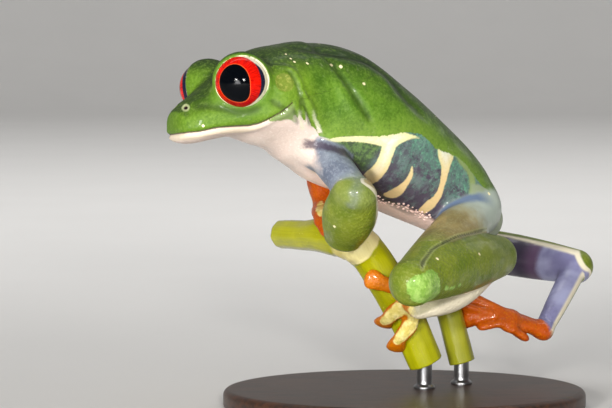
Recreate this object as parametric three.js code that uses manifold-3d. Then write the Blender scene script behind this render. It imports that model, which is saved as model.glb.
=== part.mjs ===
// A life-size red-eyed tree frog that grips a bent vine with its hands and near foot, on a small
// display stand. The frog is built in its own frame: +X forward, +Y to its left, +Z up, with the
// origin in the middle of the pelvis. One turned group places frog and vine over the stand.
// Every body part is a closed loft along a smooth line. Where two parts meet, the later one is cut
// back from the earlier one, so that they fit face to face with a thin gap and never overlap.
import * as THREE from "three";
import { LoftGeometry } from "three/addons/geometries/LoftGeometry.js";
import { mergeVertices } from "three/addons/utils/BufferGeometryUtils.js";
import Module from "manifold-3d";

const wasm = await Module();
wasm.setup();

// ---------------------------------------------------------------- driving sizes, millimetres

const GAP = 0.3; // between pieces that meet
const HEADING_DEG = 205; // the frog's forward axis, turned from the stand's +X
const PELVIS = [11.7, 3, 27.5]; // the frog's origin, over the middle of the stand
const TRUNK_ROLL_DEG = 11; // the back leans to the frog's left
const HEAD = [41.0, 0.3, 18.8]; // midway between the eyeballs
const HEAD_PITCH_DEG = 15; // snout down
const HEAD_ROLL_DEG = 5; // right side down
const EYE_RADIUS = 3.65;
const EYE_CENTRE = [-0.2, 6.25, 0.05]; // the left eyeball's, in the head's frame
const LID_AXIS_DEG = 62; // the way the lids open, outwards from straight ahead
const LID_WALL = 0.55; // beyond the gap round the eyeball
const LID_OPENING = 0.9; // from the eyeball's centre to the rim of the lids
const EARDRUM_RADIUS = 1.35;
const VINE_RADIUS = 2.6;
const SIDE_VINE_RADIUS = 1.9;
const DIGIT = { root: 1.35, tip: 1.15, flat: 0.62, pad: 1.5, padThick: 0.66, clear: 0.2 };
const BASE = { length: 52, width: 40, thick: 2.5, bevel: 0.4 };
const ROD_RADIUS = 1.1;
const ROD_FEET = [
  [2.9, 0.1],
  [8.5, 4.5],
];

// ---------------------------------------------------------------- finishes

const finish = (color, roughness, metalness = 0) =>
  new THREE.MeshStandardMaterial({ color, roughness, metalness });

const GREEN = finish(0x5f9a2c, 0.35);
const OLIVE = finish(0x7c8a3c, 0.35);
const BLUE = finish(0x6e86a8, 0.4);
const ORANGE = finish(0xe2640c, 0.35);
const CREAM = finish(0xf1ddd0, 0.5);
const EARDRUM_OLIVE = finish(0x8f9a3a, 0.4);
const EYE_RED = finish(0xd21a10, 0.1);
const VINE_GREEN = finish(0xaeb52a, 0.35);
const DARK_WOOD = finish(0x3a2c24, 0.5);
const STEEL = finish(0x9a9a98, 0.3, 0.9);

// ---------------------------------------------------------------- shapes

const vec = (p) => new THREE.Vector3(...p);
const radians = THREE.MathUtils.degToRad;
const mix = THREE.MathUtils.lerp;

// A smooth line through some points, used for the middle of a body and for its half-sizes alike.
const lineThrough = (points) =>
  new THREE.CatmullRomCurve3(points.map(vec), false, "catmullrom", 0.5);

// One ring of a body: half-sizes to each side, up and down, with corners squared by `square`.
function ring(centre, side, up, [wide, high, low], square, count) {
  return [...Array(count).keys()].map((i) => {
    const angle = (2 * Math.PI * i) / count;
    const c = Math.cos(angle);
    const s = Math.sin(angle);
    const across = wide * Math.sign(c) * Math.abs(c) ** (2 / square);
    const along = (s > 0 ? high : low) * Math.sign(s) * Math.abs(s) ** (2 / square);
    return centre.clone().addScaledVector(side, across).addScaledVector(up, along);
  });
}

// A closed body along a smooth line. Each station is [point, half-width, half-height up, half-height
// down], and `facing` is the way its back faces. `blunt` is the length of each domed end against its
// thickness; 0 leaves that end flat.
function sweep(stations, options = {}) {
  const { facing = [0, 0, 1], square = 2, around = 12, steps = 2, grow = 0 } = options;
  const { blunt = [1, 1], domeRings = 2 } = options;
  const path = lineThrough(stations.map((s) => s[0]));
  const sizes = lineThrough(stations.map(([, wide, high, low = high]) => [wide, high, low]));
  const rings = [];
  const add = (t, shift, share) => {
    const forward = path.getTangent(t);
    const side = new THREE.Vector3().crossVectors(vec(facing), forward).normalize();
    const up = new THREE.Vector3().crossVectors(forward, side);
    const half = sizes.getPoint(t).addScalar(grow);
    const thin = Math.min(half.x, (half.y + half.z) / 2);
    const centre = path.getPoint(t).addScaledVector(forward, shift * thin);
    rings.push(ring(centre, side, up, half.multiplyScalar(share).toArray(), square, around));
  };
  const dome = (t, length, way) => {
    const turns = [...Array(domeRings).keys()].map((i) => ((i + 0.6) / (domeRings + 0.6)) * 90);
    if (way > 0) turns.reverse();
    turns.forEach((turn) => add(t, way * length * Math.cos(radians(turn)), Math.sin(radians(turn))));
  };
  const count = (stations.length - 1) * steps;
  if (blunt[0]) dome(0, blunt[0], -1);
  for (let i = 0; i <= count; i++) add(i / count, 0, 1);
  if (blunt[1]) dome(1, blunt[1], 1);
  return solid(new LoftGeometry(rings, { capStart: true, capEnd: true }));
}

// A three.js geometry as a solid, and back.
function solid(geometry) {
  const bare = new THREE.BufferGeometry();
  bare.setAttribute("position", geometry.getAttribute("position"));
  bare.setIndex(geometry.getIndex());
  const merged = mergeVertices(bare, 1e-3);
  return new wasm.Manifold(
    new wasm.Mesh({
      numProp: 3,
      vertProperties: merged.attributes.position.array,
      triVerts: new Uint32Array(merged.index.array),
    }),
  );
}

function geometryOf(body) {
  const { numProp, numVert, vertProperties, triVerts } = body.getMesh();
  const position = new Float32Array(numVert * 3);
  for (let i = 0; i < numVert; i++) {
    position.set(vertProperties.subarray(i * numProp, i * numProp + 3), i * 3);
  }
  const geometry = new THREE.BufferGeometry();
  geometry.setAttribute("position", new THREE.BufferAttribute(position, 3));
  geometry.setIndex(new THREE.BufferAttribute(triVerts, 1));
  geometry.computeVertexNormals();
  return geometry;
}

const largest = (body) => body.decompose().reduce((a, b) => (a.volume() > b.volume() ? a : b));

const ball = (centre, radius, columns = 14) =>
  solid(new THREE.SphereGeometry(radius, columns, Math.round(columns * 0.6)).translate(...centre));

// Everything on the far side of a plane through `point`, as a large block.
function beyond(point, normal) {
  const size = 90;
  const block = new THREE.BoxGeometry(size, size, size).translate(0, 0, size / 2);
  const turn = new THREE.Quaternion().setFromUnitVectors(vec([0, 0, 1]), vec(normal).normalize());
  return solid(block.applyQuaternion(turn).translate(...point));
}

// ---------------------------------------------------------------- trunk

const TRUNK_BACK = [0, Math.sin(radians(TRUNK_ROLL_DEG)), Math.cos(radians(TRUNK_ROLL_DEG))];

// From the vent forward to the throat: middle, half-width, half-height up and down.
const TRUNK = [
  [[0.6, -0.3, -1.2], 3.6, 3.9],
  [[3.5, -0.2, 1.0], 5.4, 5.5],
  [[7.2, -0.2, 3.9], 6.9, 6.7],
  [[12.4, -0.1, 7.4], 8.2, 7.6, 8.0],
  [[18.3, 0, 11.1], 9.0, 8.5, 9.0],
  [[24.9, 0, 14.4], 8.9, 9.5],
  [[30.9, 0, 16.1], 8.3, 8.6, 7.9],
  [[34.7, 0, 16.7], 7.4, 6.8, 6.4],
];

const trunkBody = (grow = 0) =>
  sweep(TRUNK, { facing: TRUNK_BACK, around: 18, square: 2.15, grow });

// ---------------------------------------------------------------- head

// The head's own frame, with its origin midway between the eyes, turned into the frog's frame.
const headFrame = new THREE.Matrix4()
  .makeRotationY(radians(HEAD_PITCH_DEG))
  .multiply(new THREE.Matrix4().makeRotationX(radians(HEAD_ROLL_DEG)))
  .setPosition(...HEAD);
const inHead = (p) => vec(p).applyMatrix4(headFrame).toArray();
const headWay = (p) => vec(p).transformDirection(headFrame).toArray();

// From the nape to the snout, in the head's frame: middle of the widest line, half-width, crown, chin.
const SKULL = [
  [[-11, 0, -4.6], 7.6, 7.2, 6.8],
  [[-8, 0, -4.1], 8.6, 7.4, 7.0],
  [[-5, 0, -4.1], 8.9, 7.3, 5.7],
  [[-2, 0, -4.2], 8.4, 6.6, 4.1],
  [[1, 0, -4.2], 7.4, 5.6, 2.8],
  [[4, 0, -4.2], 6.1, 4.5, 2.4],
  [[6.5, 0, -4.1], 4.9, 3.5, 2.3],
  [[8.0, 0, -3.9], 3.8, 2.6, 2.0],
];

const eyeCentre = (left) => inHead([EYE_CENTRE[0], left * EYE_CENTRE[1], EYE_CENTRE[2]]);
const lidAxis = (left) => {
  const turn = radians(LID_AXIS_DEG);
  return headWay([Math.cos(turn), left * Math.sin(turn), -0.05]);
};

// The skull with an eye turret on each side, cut off flat at the rim of the lids.
function headBody(grow = 0) {
  const skull = sweep(
    SKULL.map(([p, ...sizes]) => [inHead(p), ...sizes]),
    { facing: headWay([0, 0, 1]), around: 20, steps: 1, square: 2.25, blunt: [0.2, 0.4], grow },
  );
  return [1, -1].reduce((head, left) => {
    const rim = lidAxis(left).map((a, i) => eyeCentre(left)[i] + a * (LID_OPENING + grow));
    const turret = ball(eyeCentre(left), EYE_RADIUS + GAP + LID_WALL + grow, 14);
    return head.add(turret.subtract(beyond(rim, lidAxis(left))));
  }, skull);
}

// The mouth: a thin slit whose height falls and rises along the head, from the snout to the nape.
const MOUTH = [
  [14, -4.2],
  [8.6, -4.6],
  [4.7, -5.1],
  [1.6, -5.9],
  [-1.0, -6.1],
  [-3.2, -5.5],
  [-5.3, -4.3],
  [-14, -4.0],
];

function mouthSlit() {
  const line = (lift) => MOUTH.map(([x, z]) => new THREE.Vector2(x, z + lift));
  const outline = new THREE.Shape([...line(GAP / 2), ...line(-GAP / 2).reverse()]);
  const slab = new THREE.ExtrudeGeometry(outline, { depth: 40, bevelEnabled: false });
  slab.rotateX(Math.PI / 2).translate(0, 20, 0).applyMatrix4(headFrame);
  return solid(slab);
}

// ---------------------------------------------------------------- vine

// The climbed vine, from its lower cut end up to the joint where it bends, and on to the other end.
const VINE_LINE = [
  [9.2, -0.9, -21.2],
  [12.0, -1.1, -15.0],
  [15.1, -0.9, -9.9],
  [18.4, -0.4, -5.4],
  [21.1, -0.7, -3.3],
  [23.1, -3.8, -2.8],
  [24.2, -8.6, -3.0],
  [25.2, -15, -3.3],
];
const SIDE_VINE_LINE = [
  [2.2, -2.7, -21.8],
  [3.8, -3.4, -15.1],
  [4.6, -4.0, -11.6],
  [5.2, -4.8, -8.8],
];
// Its thickness at each of those places, against VINE_RADIUS: it swells at the joint, then tapers.
const VINE_SHARES = [0.96, 1, 1.03, 1.04, 1.12, 1, 0.84, 0.8];

function stem(line, radius, shares, steps) {
  const half = (i, grow) => radius * shares[i] + grow;
  const path = lineThrough(line);
  const sizes = lineThrough(shares.map((share) => [radius * share, 0, 0]));
  return {
    path,
    radiusAt: (u) => sizes.getPoint(path.getUtoTmapping(u)).x,
    body: (grow = 0) =>
      sweep(
        line.map((p, i) => [p, half(i, grow), half(i, grow)]),
        { facing: [1, 0, 0.2], steps, blunt: [0, 0] },
      ),
  };
}
const vine = stem(VINE_LINE, VINE_RADIUS, VINE_SHARES, 2);
const sideVine = stem(SIDE_VINE_LINE, SIDE_VINE_RADIUS, [1, 1, 1, 1], 1);

// The middle of a stem so many millimetres along it, and a point beside that: degrees round the stem
// (0 is the frog's forward side and 90 its left or, where the stem runs sideways, its upper side)
// and millimetres off its surface.
const middleOf = (stemOf, along) => stemOf.path.getPointAt(along / stemOf.path.getLength());

function beside(stemOf, along, round, off) {
  const u = along / stemOf.path.getLength();
  const up = stemOf.path.getTangentAt(u);
  const front = new THREE.Vector3(1, 0, 0).addScaledVector(up, -up.x).normalize();
  const left = new THREE.Vector3().crossVectors(up, front);
  const reach = stemOf.radiusAt(u) + off;
  return stemOf.path
    .getPointAt(u)
    .addScaledVector(front, Math.cos(radians(round)) * reach)
    .addScaledVector(left, Math.sin(radians(round)) * reach);
}

// ---------------------------------------------------------------- hands and feet

// A finger or toe from the palm's end at `root` to its round sticky pad. at(s) is its middle line from
// the knuckle at 0 to the pad's middle at 1, `length` the way between them, `facing` its back's way.
function digit(root, at, length, facing) {
  const pad = DIGIT.pad / length;
  const neck = 1 - 1.1 * pad;
  const bone = (share, half) => [at(neck * share), half, half * DIGIT.flat];
  const stations = [
    [root, DIGIT.root, DIGIT.root * DIGIT.flat],
    bone(0.45, mix(DIGIT.root, DIGIT.tip, 0.5)),
    bone(0.75, DIGIT.tip),
    bone(1, DIGIT.tip),
    [at(1 - 0.25 * pad), DIGIT.pad * 0.88, DIGIT.padThick],
    [at(1 + 0.35 * pad), DIGIT.pad, DIGIT.padThick],
  ];
  return sweep(stations, { facing, around: 6, steps: 1, domeRings: 1, blunt: [1, 1.5] });
}

// A digit round a stem. The grip is [millimetres along the stem, degrees round it] at the knuckle,
// and the same at the pad's middle.
function gripping(root, [stemOf, along0, round0, along1, round1]) {
  const lift = GAP + DIGIT.clear + DIGIT.tip * DIGIT.flat;
  const at = (s) => {
    const off = lift + 0.3 * (1 - Math.min(s, 1));
    return beside(stemOf, mix(along0, along1, s), mix(round0, round1, s), off).toArray();
  };
  const reach = vec(at(0)).distanceTo(middleOf(stemOf, along0));
  const wrap = radians(round1 - round0) * reach;
  const length = Math.hypot(along1 - along0, wrap);
  const half = (1 - (1.1 * DIGIT.pad) / length) / 2;
  const facing = vec(at(half)).sub(middleOf(stemOf, mix(along0, along1, half))).toArray();
  return digit(root, at, length, facing);
}

// A digit that holds nothing, straight from its knuckle to its pad's middle.
function curled(root, [knuckle, tip], facing) {
  const at = (s) => vec(knuckle).lerp(vec(tip), s).toArray();
  return digit(root, at, vec(knuckle).distanceTo(vec(tip)), facing);
}

// A palm or sole with its digits, which all start at the palm's end.
function grasp({ palm, facing, grips, free = [] }) {
  const root = palm[palm.length - 1][0];
  return [
    ...grips.map((grip) => gripping(root, grip)),
    ...free.map((places) => curled(root, places, facing)),
  ].reduce((all, one) => all.add(one), sweep(palm, { facing, around: 8, steps: 1, domeRings: 1 }));
}

// ---------------------------------------------------------------- limbs

// A limb between two joints: half-thickness at both ends, `swell` more in the middle, `flat` the
// share of its height against its width, `bow` the way its middle bends off the straight line.
function limb(from, to, { ends, swell, flat = 1, bow = [0, 0, 0], ...rest }, grow) {
  const count = 5;
  const stations = [...Array(count).keys()].map((i) => {
    const t = i / (count - 1);
    const middle = Math.sin(Math.PI * t);
    const half = mix(ends[0], ends[1], t) + swell * middle;
    const p = vec(from).lerp(vec(to), t).addScaledVector(vec(bow), middle);
    return [p.toArray(), half, half * flat];
  });
  return sweep(stations, { around: 12, steps: 1, grow, ...rest });
}

const JOINTS = {
  left: {
    shoulder: [28.6, 5.0, 10.0],
    elbow: [27.3, 13.2, 4.3],
    wrist: [25.2, 5.3, -2.1],
    hip: [3.4, 3.6, 0.6],
    knee: [21.9, 19.5, -7.3],
    heel: [2.6, 7.6, -5.6],
    ankle: [14.0, 6.4, -12.4],
  },
  right: {
    shoulder: [27.4, -5.8, 10.2],
    elbow: [19.6, -13.4, 7.0],
    wrist: [21.6, -8.2, 1.2],
    hip: [2.4, -3.8, -0.4],
    knee: [-9.4, -27.8, -6.9],
    heel: [-19.9, -7.4, -9.2],
    ankle: [-9.9, -0.1, -17.6],
  },
};

const MUSCLE = {
  left: {
    upper_arm: { ends: [2.5, 2.2], swell: 0.1 },
    forearm: { ends: [3.0, 2.8], swell: 0.85, flat: 0.75, facing: [0.42, 0.9, 0.1] },
    thigh: { ends: [3.3, 2.8], swell: 0.3 },
    shank: { ends: [3.0, 3.1], swell: 1.0, bow: [0, 0, 0.5] },
    tarsus: { ends: [2.2, 1.6], swell: 0.6, flat: 0.85, bow: [0, 0, -1.6] },
  },
  right: {
    upper_arm: { ends: [2.7, 2.2], swell: 0.2 },
    forearm: { ends: [2.4, 1.8], swell: 0.8, flat: 0.8, facing: [0.42, -0.9, 0.1] },
    thigh: { ends: [3.5, 3.0], swell: 0.5 },
    shank: { ends: [2.9, 2.6], swell: 0.5 },
    tarsus: { ends: [1.9, 1.4], swell: 0.1, flat: 0.85 },
  },
};
// In the order of fitting: an upper limb ends against the lower one, where the skin folds over it.
const SPANS = {
  forearm: ["elbow", "wrist"],
  upper_arm: ["shoulder", "elbow"],
  shank: ["knee", "heel"],
  thigh: ["hip", "knee"],
  tarsus: ["heel", "ankle"],
};

// Each palm or sole runs from its limb's end to where the digits spread. A grip names its stem. The
// two inner toes of the far foot are free and curled.
const GRASPS = {
  hand_left: {
    palm: [
      [JOINTS.left.wrist, 1.9, 1.4],
      [[24.4, 2.9, -0.4], 1.8, 1.1],
    ],
    facing: [0.2, 0.6, 0.8],
    grips: [
      [vine, 22.4, 120, 21.8, 200],
      [vine, 23.4, 125, 23.2, 215],
      [vine, 24.4, 125, 24.8, 215],
      [vine, 25.2, 125, 26.4, 200],
    ],
  },
  foot_left: {
    palm: [
      [JOINTS.left.ankle, 1.6, 1.3],
      [[13.6, 3.3, -12.4], 1.8, 1.1],
    ],
    facing: [0.1, 1, 0.2],
    grips: [
      [vine, 12.6, 100, 16.1, 50],
      [vine, 11.0, 84, 8.2, -10],
      [vine, 8.4, 96, 4.3, 4],
      [vine, 9.0, 115, 8.6, 215],
      [vine, 10.6, 115, 13.4, 205],
    ],
  },
  hand_right: {
    palm: [
      [JOINTS.right.wrist, 1.7, 1.3],
      [[22.7, -6.7, 0.6], 1.7, 1.1],
    ],
    facing: [0.3, -0.3, 0.9],
    grips: [
      [vine, 26.4, 75, 23.9, 32],
      [vine, 26.9, 85, 25.0, 50],
      [vine, 28.2, 115, 28.4, 205],
      [vine, 29.6, 115, 31.4, 195],
    ],
  },
  foot_right: {
    palm: [
      [JOINTS.right.ankle, 1.5, 1.2],
      [[-4.8, -0.8, -15.6], 1.9, 1.1],
    ],
    facing: [0.3, 0.2, 1],
    grips: [
      [sideVine, 7.2, 150, 8.2, 215],
      [sideVine, 5.6, 150, 5.2, 225],
      [sideVine, 9.0, 160, 11.0, 240],
    ],
    free: [
      [
        [-3.6, 0.9, -16.6],
        [-5.5, 0.7, -17.8],
      ],
      [
        [-3.2, 0.1, -15.9],
        [-0.9, -1.1, -16.3],
      ],
    ],
  },
};

// ---------------------------------------------------------------- stand

function basePlate() {
  const { length, width, thick, bevel } = BASE;
  const outline = new THREE.Shape().absellipse(0, 0, length / 2 - bevel, width / 2 - bevel, 0, 2 * Math.PI);
  const plate = new THREE.ExtrudeGeometry(outline, {
    depth: thick - 2 * bevel,
    curveSegments: 13,
    bevelSize: bevel,
    bevelThickness: bevel,
    bevelSegments: 1,
  });
  return solid(plate.translate(0, 0, bevel));
}

// A rod from the plate up to a vine's cut end, which it stops just short of.
function rod([x, y], vineBody) {
  const tall = PELVIS[2] / 2;
  const post = new THREE.CylinderGeometry(ROD_RADIUS, ROD_RADIUS, tall, 12).rotateX(Math.PI / 2);
  return largest(solid(post.translate(x, y, BASE.thick + tall / 2)).subtract(vineBody));
}

// ---------------------------------------------------------------- assembly

const onVine = new THREE.Group();
onVine.rotation.z = radians(HEADING_DEG);
onVine.position.set(...PELVIS);

// Pieces placed so far, grown by the gap. Each new piece is cut back from them.
const placed = [];
function place(name, body, grown, material) {
  const cut = placed.reduce((left, other) => left.subtract(other), body);
  const mesh = new THREE.Mesh(geometryOf(largest(cut)), material);
  mesh.name = name;
  onVine.add(mesh);
  placed.push(grown);
}

place("vine_main", vine.body(), vine.body(GAP), VINE_GREEN);
place("vine_side", sideVine.body(), sideVine.body(GAP), VINE_GREEN);
for (const [side, left] of [["left", 1], ["right", -1]]) {
  const eye = (grow) => ball(eyeCentre(left), EYE_RADIUS + grow);
  place(`eye_${side}`, eye(0), eye(GAP), EYE_RED);
}

// Head and trunk are one body, parted by a plane at the nape and by the mouth's slit.
const NAPE = inHead([-9.4, 0, 0]);
const NAPE_NORMAL = headWay([1, 0, 0.1]);
const nape = (shift) => NAPE_NORMAL.map((n, i) => NAPE[i] + n * shift);
const core = headBody().add(trunkBody());
const front = core.intersect(beyond(nape(GAP / 2), NAPE_NORMAL));
const [head, jaw] = front
  .subtract(mouthSlit())
  .decompose()
  .sort((a, b) => b.boundingBox().max[2] - a.boundingBox().max[2]);
const coreGrown = headBody(GAP).add(trunkBody(GAP));
for (const [side, left] of [["left", 1], ["right", -1]]) {
  const drum = (grow) => ball(inHead([-5.6, left * 8.1, -1.4]), EARDRUM_RADIUS + grow, 10);
  place(`eardrum_${side}`, drum(0).intersect(headBody(-0.05)), drum(GAP), EARDRUM_OLIVE);
}
place("head", head, head, GREEN);
place("lower_jaw", jaw, jaw, CREAM);
place("trunk", core.subtract(beyond(nape(-GAP / 2), NAPE_NORMAL)), coreGrown, GREEN);

for (const side of ["left", "right"]) {
  for (const [name, [from, to]] of Object.entries(SPANS)) {
    const make = (grow) => limb(JOINTS[side][from], JOINTS[side][to], MUSCLE[side][name], grow);
    const olive = name === "shank" || name === "forearm";
    place(`${name}_${side}`, make(0), make(GAP), olive ? OLIVE : BLUE);
  }
}
for (const [name, shape] of Object.entries(GRASPS)) {
  const body = grasp(shape);
  place(name, body, body, ORANGE);
}

const model = new THREE.Group();
model.add(onVine);
onVine.updateMatrix();

function standPiece(name, body, material) {
  const mesh = new THREE.Mesh(geometryOf(body), material);
  mesh.name = name;
  model.add(mesh);
}
standPiece("stand_base", basePlate(), DARK_WOOD);
const inStand = (body) => body.transform(onVine.matrix.toArray());
standPiece("stand_rod_main", rod(ROD_FEET[0], inStand(vine.body(GAP))), STEEL);
standPiece("stand_rod_side", rod(ROD_FEET[1], inStand(sideVine.body(GAP))), STEEL);

export default model;
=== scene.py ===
# A life-size model of a red-eyed tree frog that grips a cut vine, on a small wooden display stand.
# Everything is made in millimetres, in the frog's or the stand's frame, and set down in metres.
import math
import bpy
import numpy as np
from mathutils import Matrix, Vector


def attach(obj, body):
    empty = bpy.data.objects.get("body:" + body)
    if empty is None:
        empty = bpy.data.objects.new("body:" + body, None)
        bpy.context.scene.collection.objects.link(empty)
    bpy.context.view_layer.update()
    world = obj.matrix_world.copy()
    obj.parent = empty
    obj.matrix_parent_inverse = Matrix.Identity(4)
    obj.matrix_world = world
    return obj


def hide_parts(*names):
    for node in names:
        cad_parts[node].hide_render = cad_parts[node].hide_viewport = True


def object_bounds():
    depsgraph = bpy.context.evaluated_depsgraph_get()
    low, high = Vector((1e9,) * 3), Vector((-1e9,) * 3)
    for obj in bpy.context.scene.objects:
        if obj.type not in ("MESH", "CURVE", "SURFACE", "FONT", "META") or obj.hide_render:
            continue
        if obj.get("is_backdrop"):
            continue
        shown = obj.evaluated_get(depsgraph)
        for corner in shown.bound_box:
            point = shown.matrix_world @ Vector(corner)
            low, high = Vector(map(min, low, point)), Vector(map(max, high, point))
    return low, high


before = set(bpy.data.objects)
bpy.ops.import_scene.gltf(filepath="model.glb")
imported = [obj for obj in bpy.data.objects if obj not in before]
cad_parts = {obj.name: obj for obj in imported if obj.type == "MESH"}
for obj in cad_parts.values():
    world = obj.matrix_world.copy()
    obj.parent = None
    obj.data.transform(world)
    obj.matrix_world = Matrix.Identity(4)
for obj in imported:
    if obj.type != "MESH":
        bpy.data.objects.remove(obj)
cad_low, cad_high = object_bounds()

import openvdb
from mathutils import Vector

MM = 0.001

# ------------------------------------------------------------------------------------ stand plate
# The real piece is an oval plate of dark, varnished hardwood with a rounded top edge.
# It is lathed here as rings of an ellipse, drawn in along a rounded section, from the underside up
# to the middle of the top. The whole model stands on this plate; nothing else touches the table.

class Shader:
    """A socket of a material's nodes that takes part in arithmetic, and makes the nodes it needs."""

    def __init__(self, tree, socket):
        self.tree, self.socket = tree, socket

    def make(self, kind, settings=(), output=0, **inputs):
        """Any node: its type, its settings, the output wanted, and its inputs by name or place."""
        node = self.tree.nodes.new(kind)
        for name, value in dict(settings).items():
            setattr(node, name, value)
        for name, value in inputs.items():
            key = int(name[1:]) if name[0] == "_" else name.replace("_", " ")
            self.plug(node.inputs[key], value)
        return Shader(self.tree, node.outputs[output])

    def plug(self, socket, value):
        if isinstance(value, Shader):
            self.tree.links.new(value.socket, socket)
        else:
            socket.default_value = value

    def math(self, operation, *values):
        inputs = {f"_{i}": v for i, v in enumerate(values)}
        return self.make("ShaderNodeMath", {"operation": operation}, **inputs)

    def __add__(self, other):
        return self.math("ADD", self, other)

    def __radd__(self, other):
        return self.math("ADD", other, self)

    def __sub__(self, other):
        return self.math("SUBTRACT", self, other)

    def __rsub__(self, other):
        return self.math("SUBTRACT", other, self)

    def __mul__(self, other):
        return self.math("MULTIPLY", self, other)

    def __rmul__(self, other):
        return self.math("MULTIPLY", other, self)

    def __truediv__(self, other):
        return self.math("DIVIDE", self, other)

    def __neg__(self):
        return self.math("MULTIPLY", self, -1.0)

    def __pow__(self, other):
        return self.math("POWER", self, other)

    def above(self, edge, soft=0.1):
        """0 below the edge and 1 above it, with a soft step between."""
        ends = {"From_Min": edge - soft, "From_Max": edge + soft}
        return self.make("ShaderNodeMapRange", {"interpolation_type": "SMOOTHSTEP"}, Value=self, **ends)

    def below(self, edge, soft=0.1):
        return 1.0 - self.above(edge, soft)

    def highest(self, other):
        return self.math("MAXIMUM", self, other)

    def size(self):
        return self.math("ABSOLUTE", self)

    def mix(self, first, second):
        """The first colour where this is 0 and the second where it is 1."""
        settings = {"data_type": "RGBA", "clamp_factor": True}
        return self.make("ShaderNodeMix", settings, 2, _0=self, _6=first, _7=second)

    def scaled(self, factors):
        return self.make("ShaderNodeVectorMath", {"operation": "MULTIPLY"}, _0=self, _1=factors)

    def shifted(self, other):
        return self.make("ShaderNodeVectorMath", {"operation": "ADD"}, _0=self, _1=other)

    def noise(self, scale, detail=3.0, roughness=0.5, output=0):
        sockets = {"Vector": self, "Scale": scale, "Detail": detail, "Roughness": roughness}
        return self.make("ShaderNodeTexNoise", {}, output, **sockets)

    def cells(self, scale):
        """How far each place is from the middle of its cell, in a pattern of uneven cells."""
        return self.make("ShaderNodeTexVoronoi", Vector=self, Scale=scale)

    def relief(self, distance):
        """A bump of this height, in units of `distance` metres."""
        return self.make("ShaderNodeBump", Height=self, Distance=distance, Strength=1.0)


def colour(red, green, blue):
    """A colour written as it looks on a screen, 0 to 255, in the linear values that nodes take."""
    def linear(value):
        share = value / 255
        return share / 12.92 if share <= 0.04045 else ((share + 0.055) / 1.055) ** 2.4
    return (linear(red), linear(green), linear(blue), 1.0)


def material(name, paint, **fixed):
    """A new material. paint(place) returns the values that vary, by the shader's socket name."""
    made = bpy.data.materials.new(name)
    made.use_nodes = True
    shader = made.node_tree.nodes["Principled BSDF"]
    for socket, value in fixed.items():
        shader.inputs[socket.replace("_", " ")].default_value = value
    start = Shader(made.node_tree, None)
    place = start.make("ShaderNodeTexCoord", {}, "Object").scaled((1000, 1000, 1000))
    for socket, value in paint(place).items():
        start.plug(shader.inputs[socket], value)
    return made


def fitted(name, mesh, nodes, slot):
    """Puts a finished mesh in its place. It rides on the model and stands for those CAD nodes."""
    mesh.shade_smooth()
    made = bpy.data.objects.new(name, mesh)
    bpy.context.scene.collection.objects.link(made)
    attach(made, "root")
    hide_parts(*nodes)
    return made


def piece(name, points, faces, finish, nodes, slot):
    """A piece of one finish, from points in the stand's millimetres."""
    mesh = bpy.data.meshes.new(name)
    mesh.from_pydata((np.asarray(points) * MM).tolist(), [], [list(f) for f in faces])
    mesh.update()
    mesh.materials.append(finish)
    return fitted(name, mesh, nodes, slot)


def closed_body(rings):
    """Points and faces of a closed body from rings of equal count, each end closed by a fan."""
    rings = np.asarray(rings, float)
    count, around = rings.shape[:2]
    points = np.vstack([rings.reshape(-1, 3), rings[0].mean(0), rings[-1].mean(0)])
    faces = []
    for i in range(count - 1):
        for j in range(around):
            k = (j + 1) % around
            faces.append((i * around + j, i * around + k, (i + 1) * around + k, (i + 1) * around + j))
    last, first_hub, last_hub = (count - 1) * around, count * around, count * around + 1
    for j in range(around):
        k = (j + 1) % around
        faces.append((first_hub, k, j))
        faces.append((last_hub, last + j, last + k))
    return points, faces


def wood(place):
    grain_place = place.scaled((0.045, 0.5, 0.5)).shifted(place.noise(0.05, 2, output=1))
    bands = grain_place.noise(3.2, 5, 0.62)
    pores = place.scaled((0.25, 4.0, 4.0)).noise(1.4, 4, 0.7)
    dark = bands.above(0.5, 0.16).mix(colour(34, 20, 13), colour(78, 46, 27))
    return {
        "Base Color": (pores.below(0.4, 0.08) * 0.65).mix(dark, colour(14, 9, 7)),
        "Roughness": 0.34 + 0.16 * pores,
        "Normal": pores.relief(0.00006),
    }


BASE = {"length": 52, "width": 40, "thick": 2.5, "edge": 0.9}


def plate_rings():
    """Rings of the plate. Its section is places [how far in from the rim, height], from below to above."""
    edge, thick = BASE["edge"], BASE["thick"]
    section = [(0.55, 0.0), (0.25, 0.0), (0.08, 0.06), (0.0, 0.3), (0.0, thick - edge)]
    for step in range(1, 9):
        turn = math.pi / 2 * step / 8
        section.append((edge * (1 - math.cos(turn)), thick - edge * (1 - math.sin(turn))))
    section += [(inset, thick) for inset in (1.6, 3.0, 6.0, 10.0, 14.0, 18.0)]
    section = [(inset, 0.0) for inset in (18.0, 12.0, 6.0, 2.0)] + section
    turns = np.linspace(0, 2 * np.pi, 160, endpoint=False)
    for inset, height in section:
        x = (BASE["length"] / 2 - inset) * np.cos(turns)
        y = (BASE["width"] / 2 - inset) * np.sin(turns)
        yield np.stack([x, y, np.full_like(turns, height)], 1)


varnished = material("varnished_wood", wood, Coat_Weight=0.3, Coat_Roughness=0.35)
piece("stand_plate", *closed_body(list(plate_rings())), varnished, ["stand_base"], "stand_wood")

# ------------------------------------------------------------------------------------ stand rods
# Two turned steel rods hold the model up, each glued into the cut lower end of its stem.
# Each is lathed: a small bright shoulder where it enters the plate, then a straight brushed shank.


def brushed(place):
    streaks = place.scaled((0.6, 0.6, 14.0)).noise(2.0, 4, 0.7)
    return {
        "Base Color": streaks.mix(colour(118, 118, 120), colour(168, 168, 170)),
        "Roughness": 0.2 + 0.2 * streaks,
        "Normal": streaks.relief(0.00001),
    }


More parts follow.
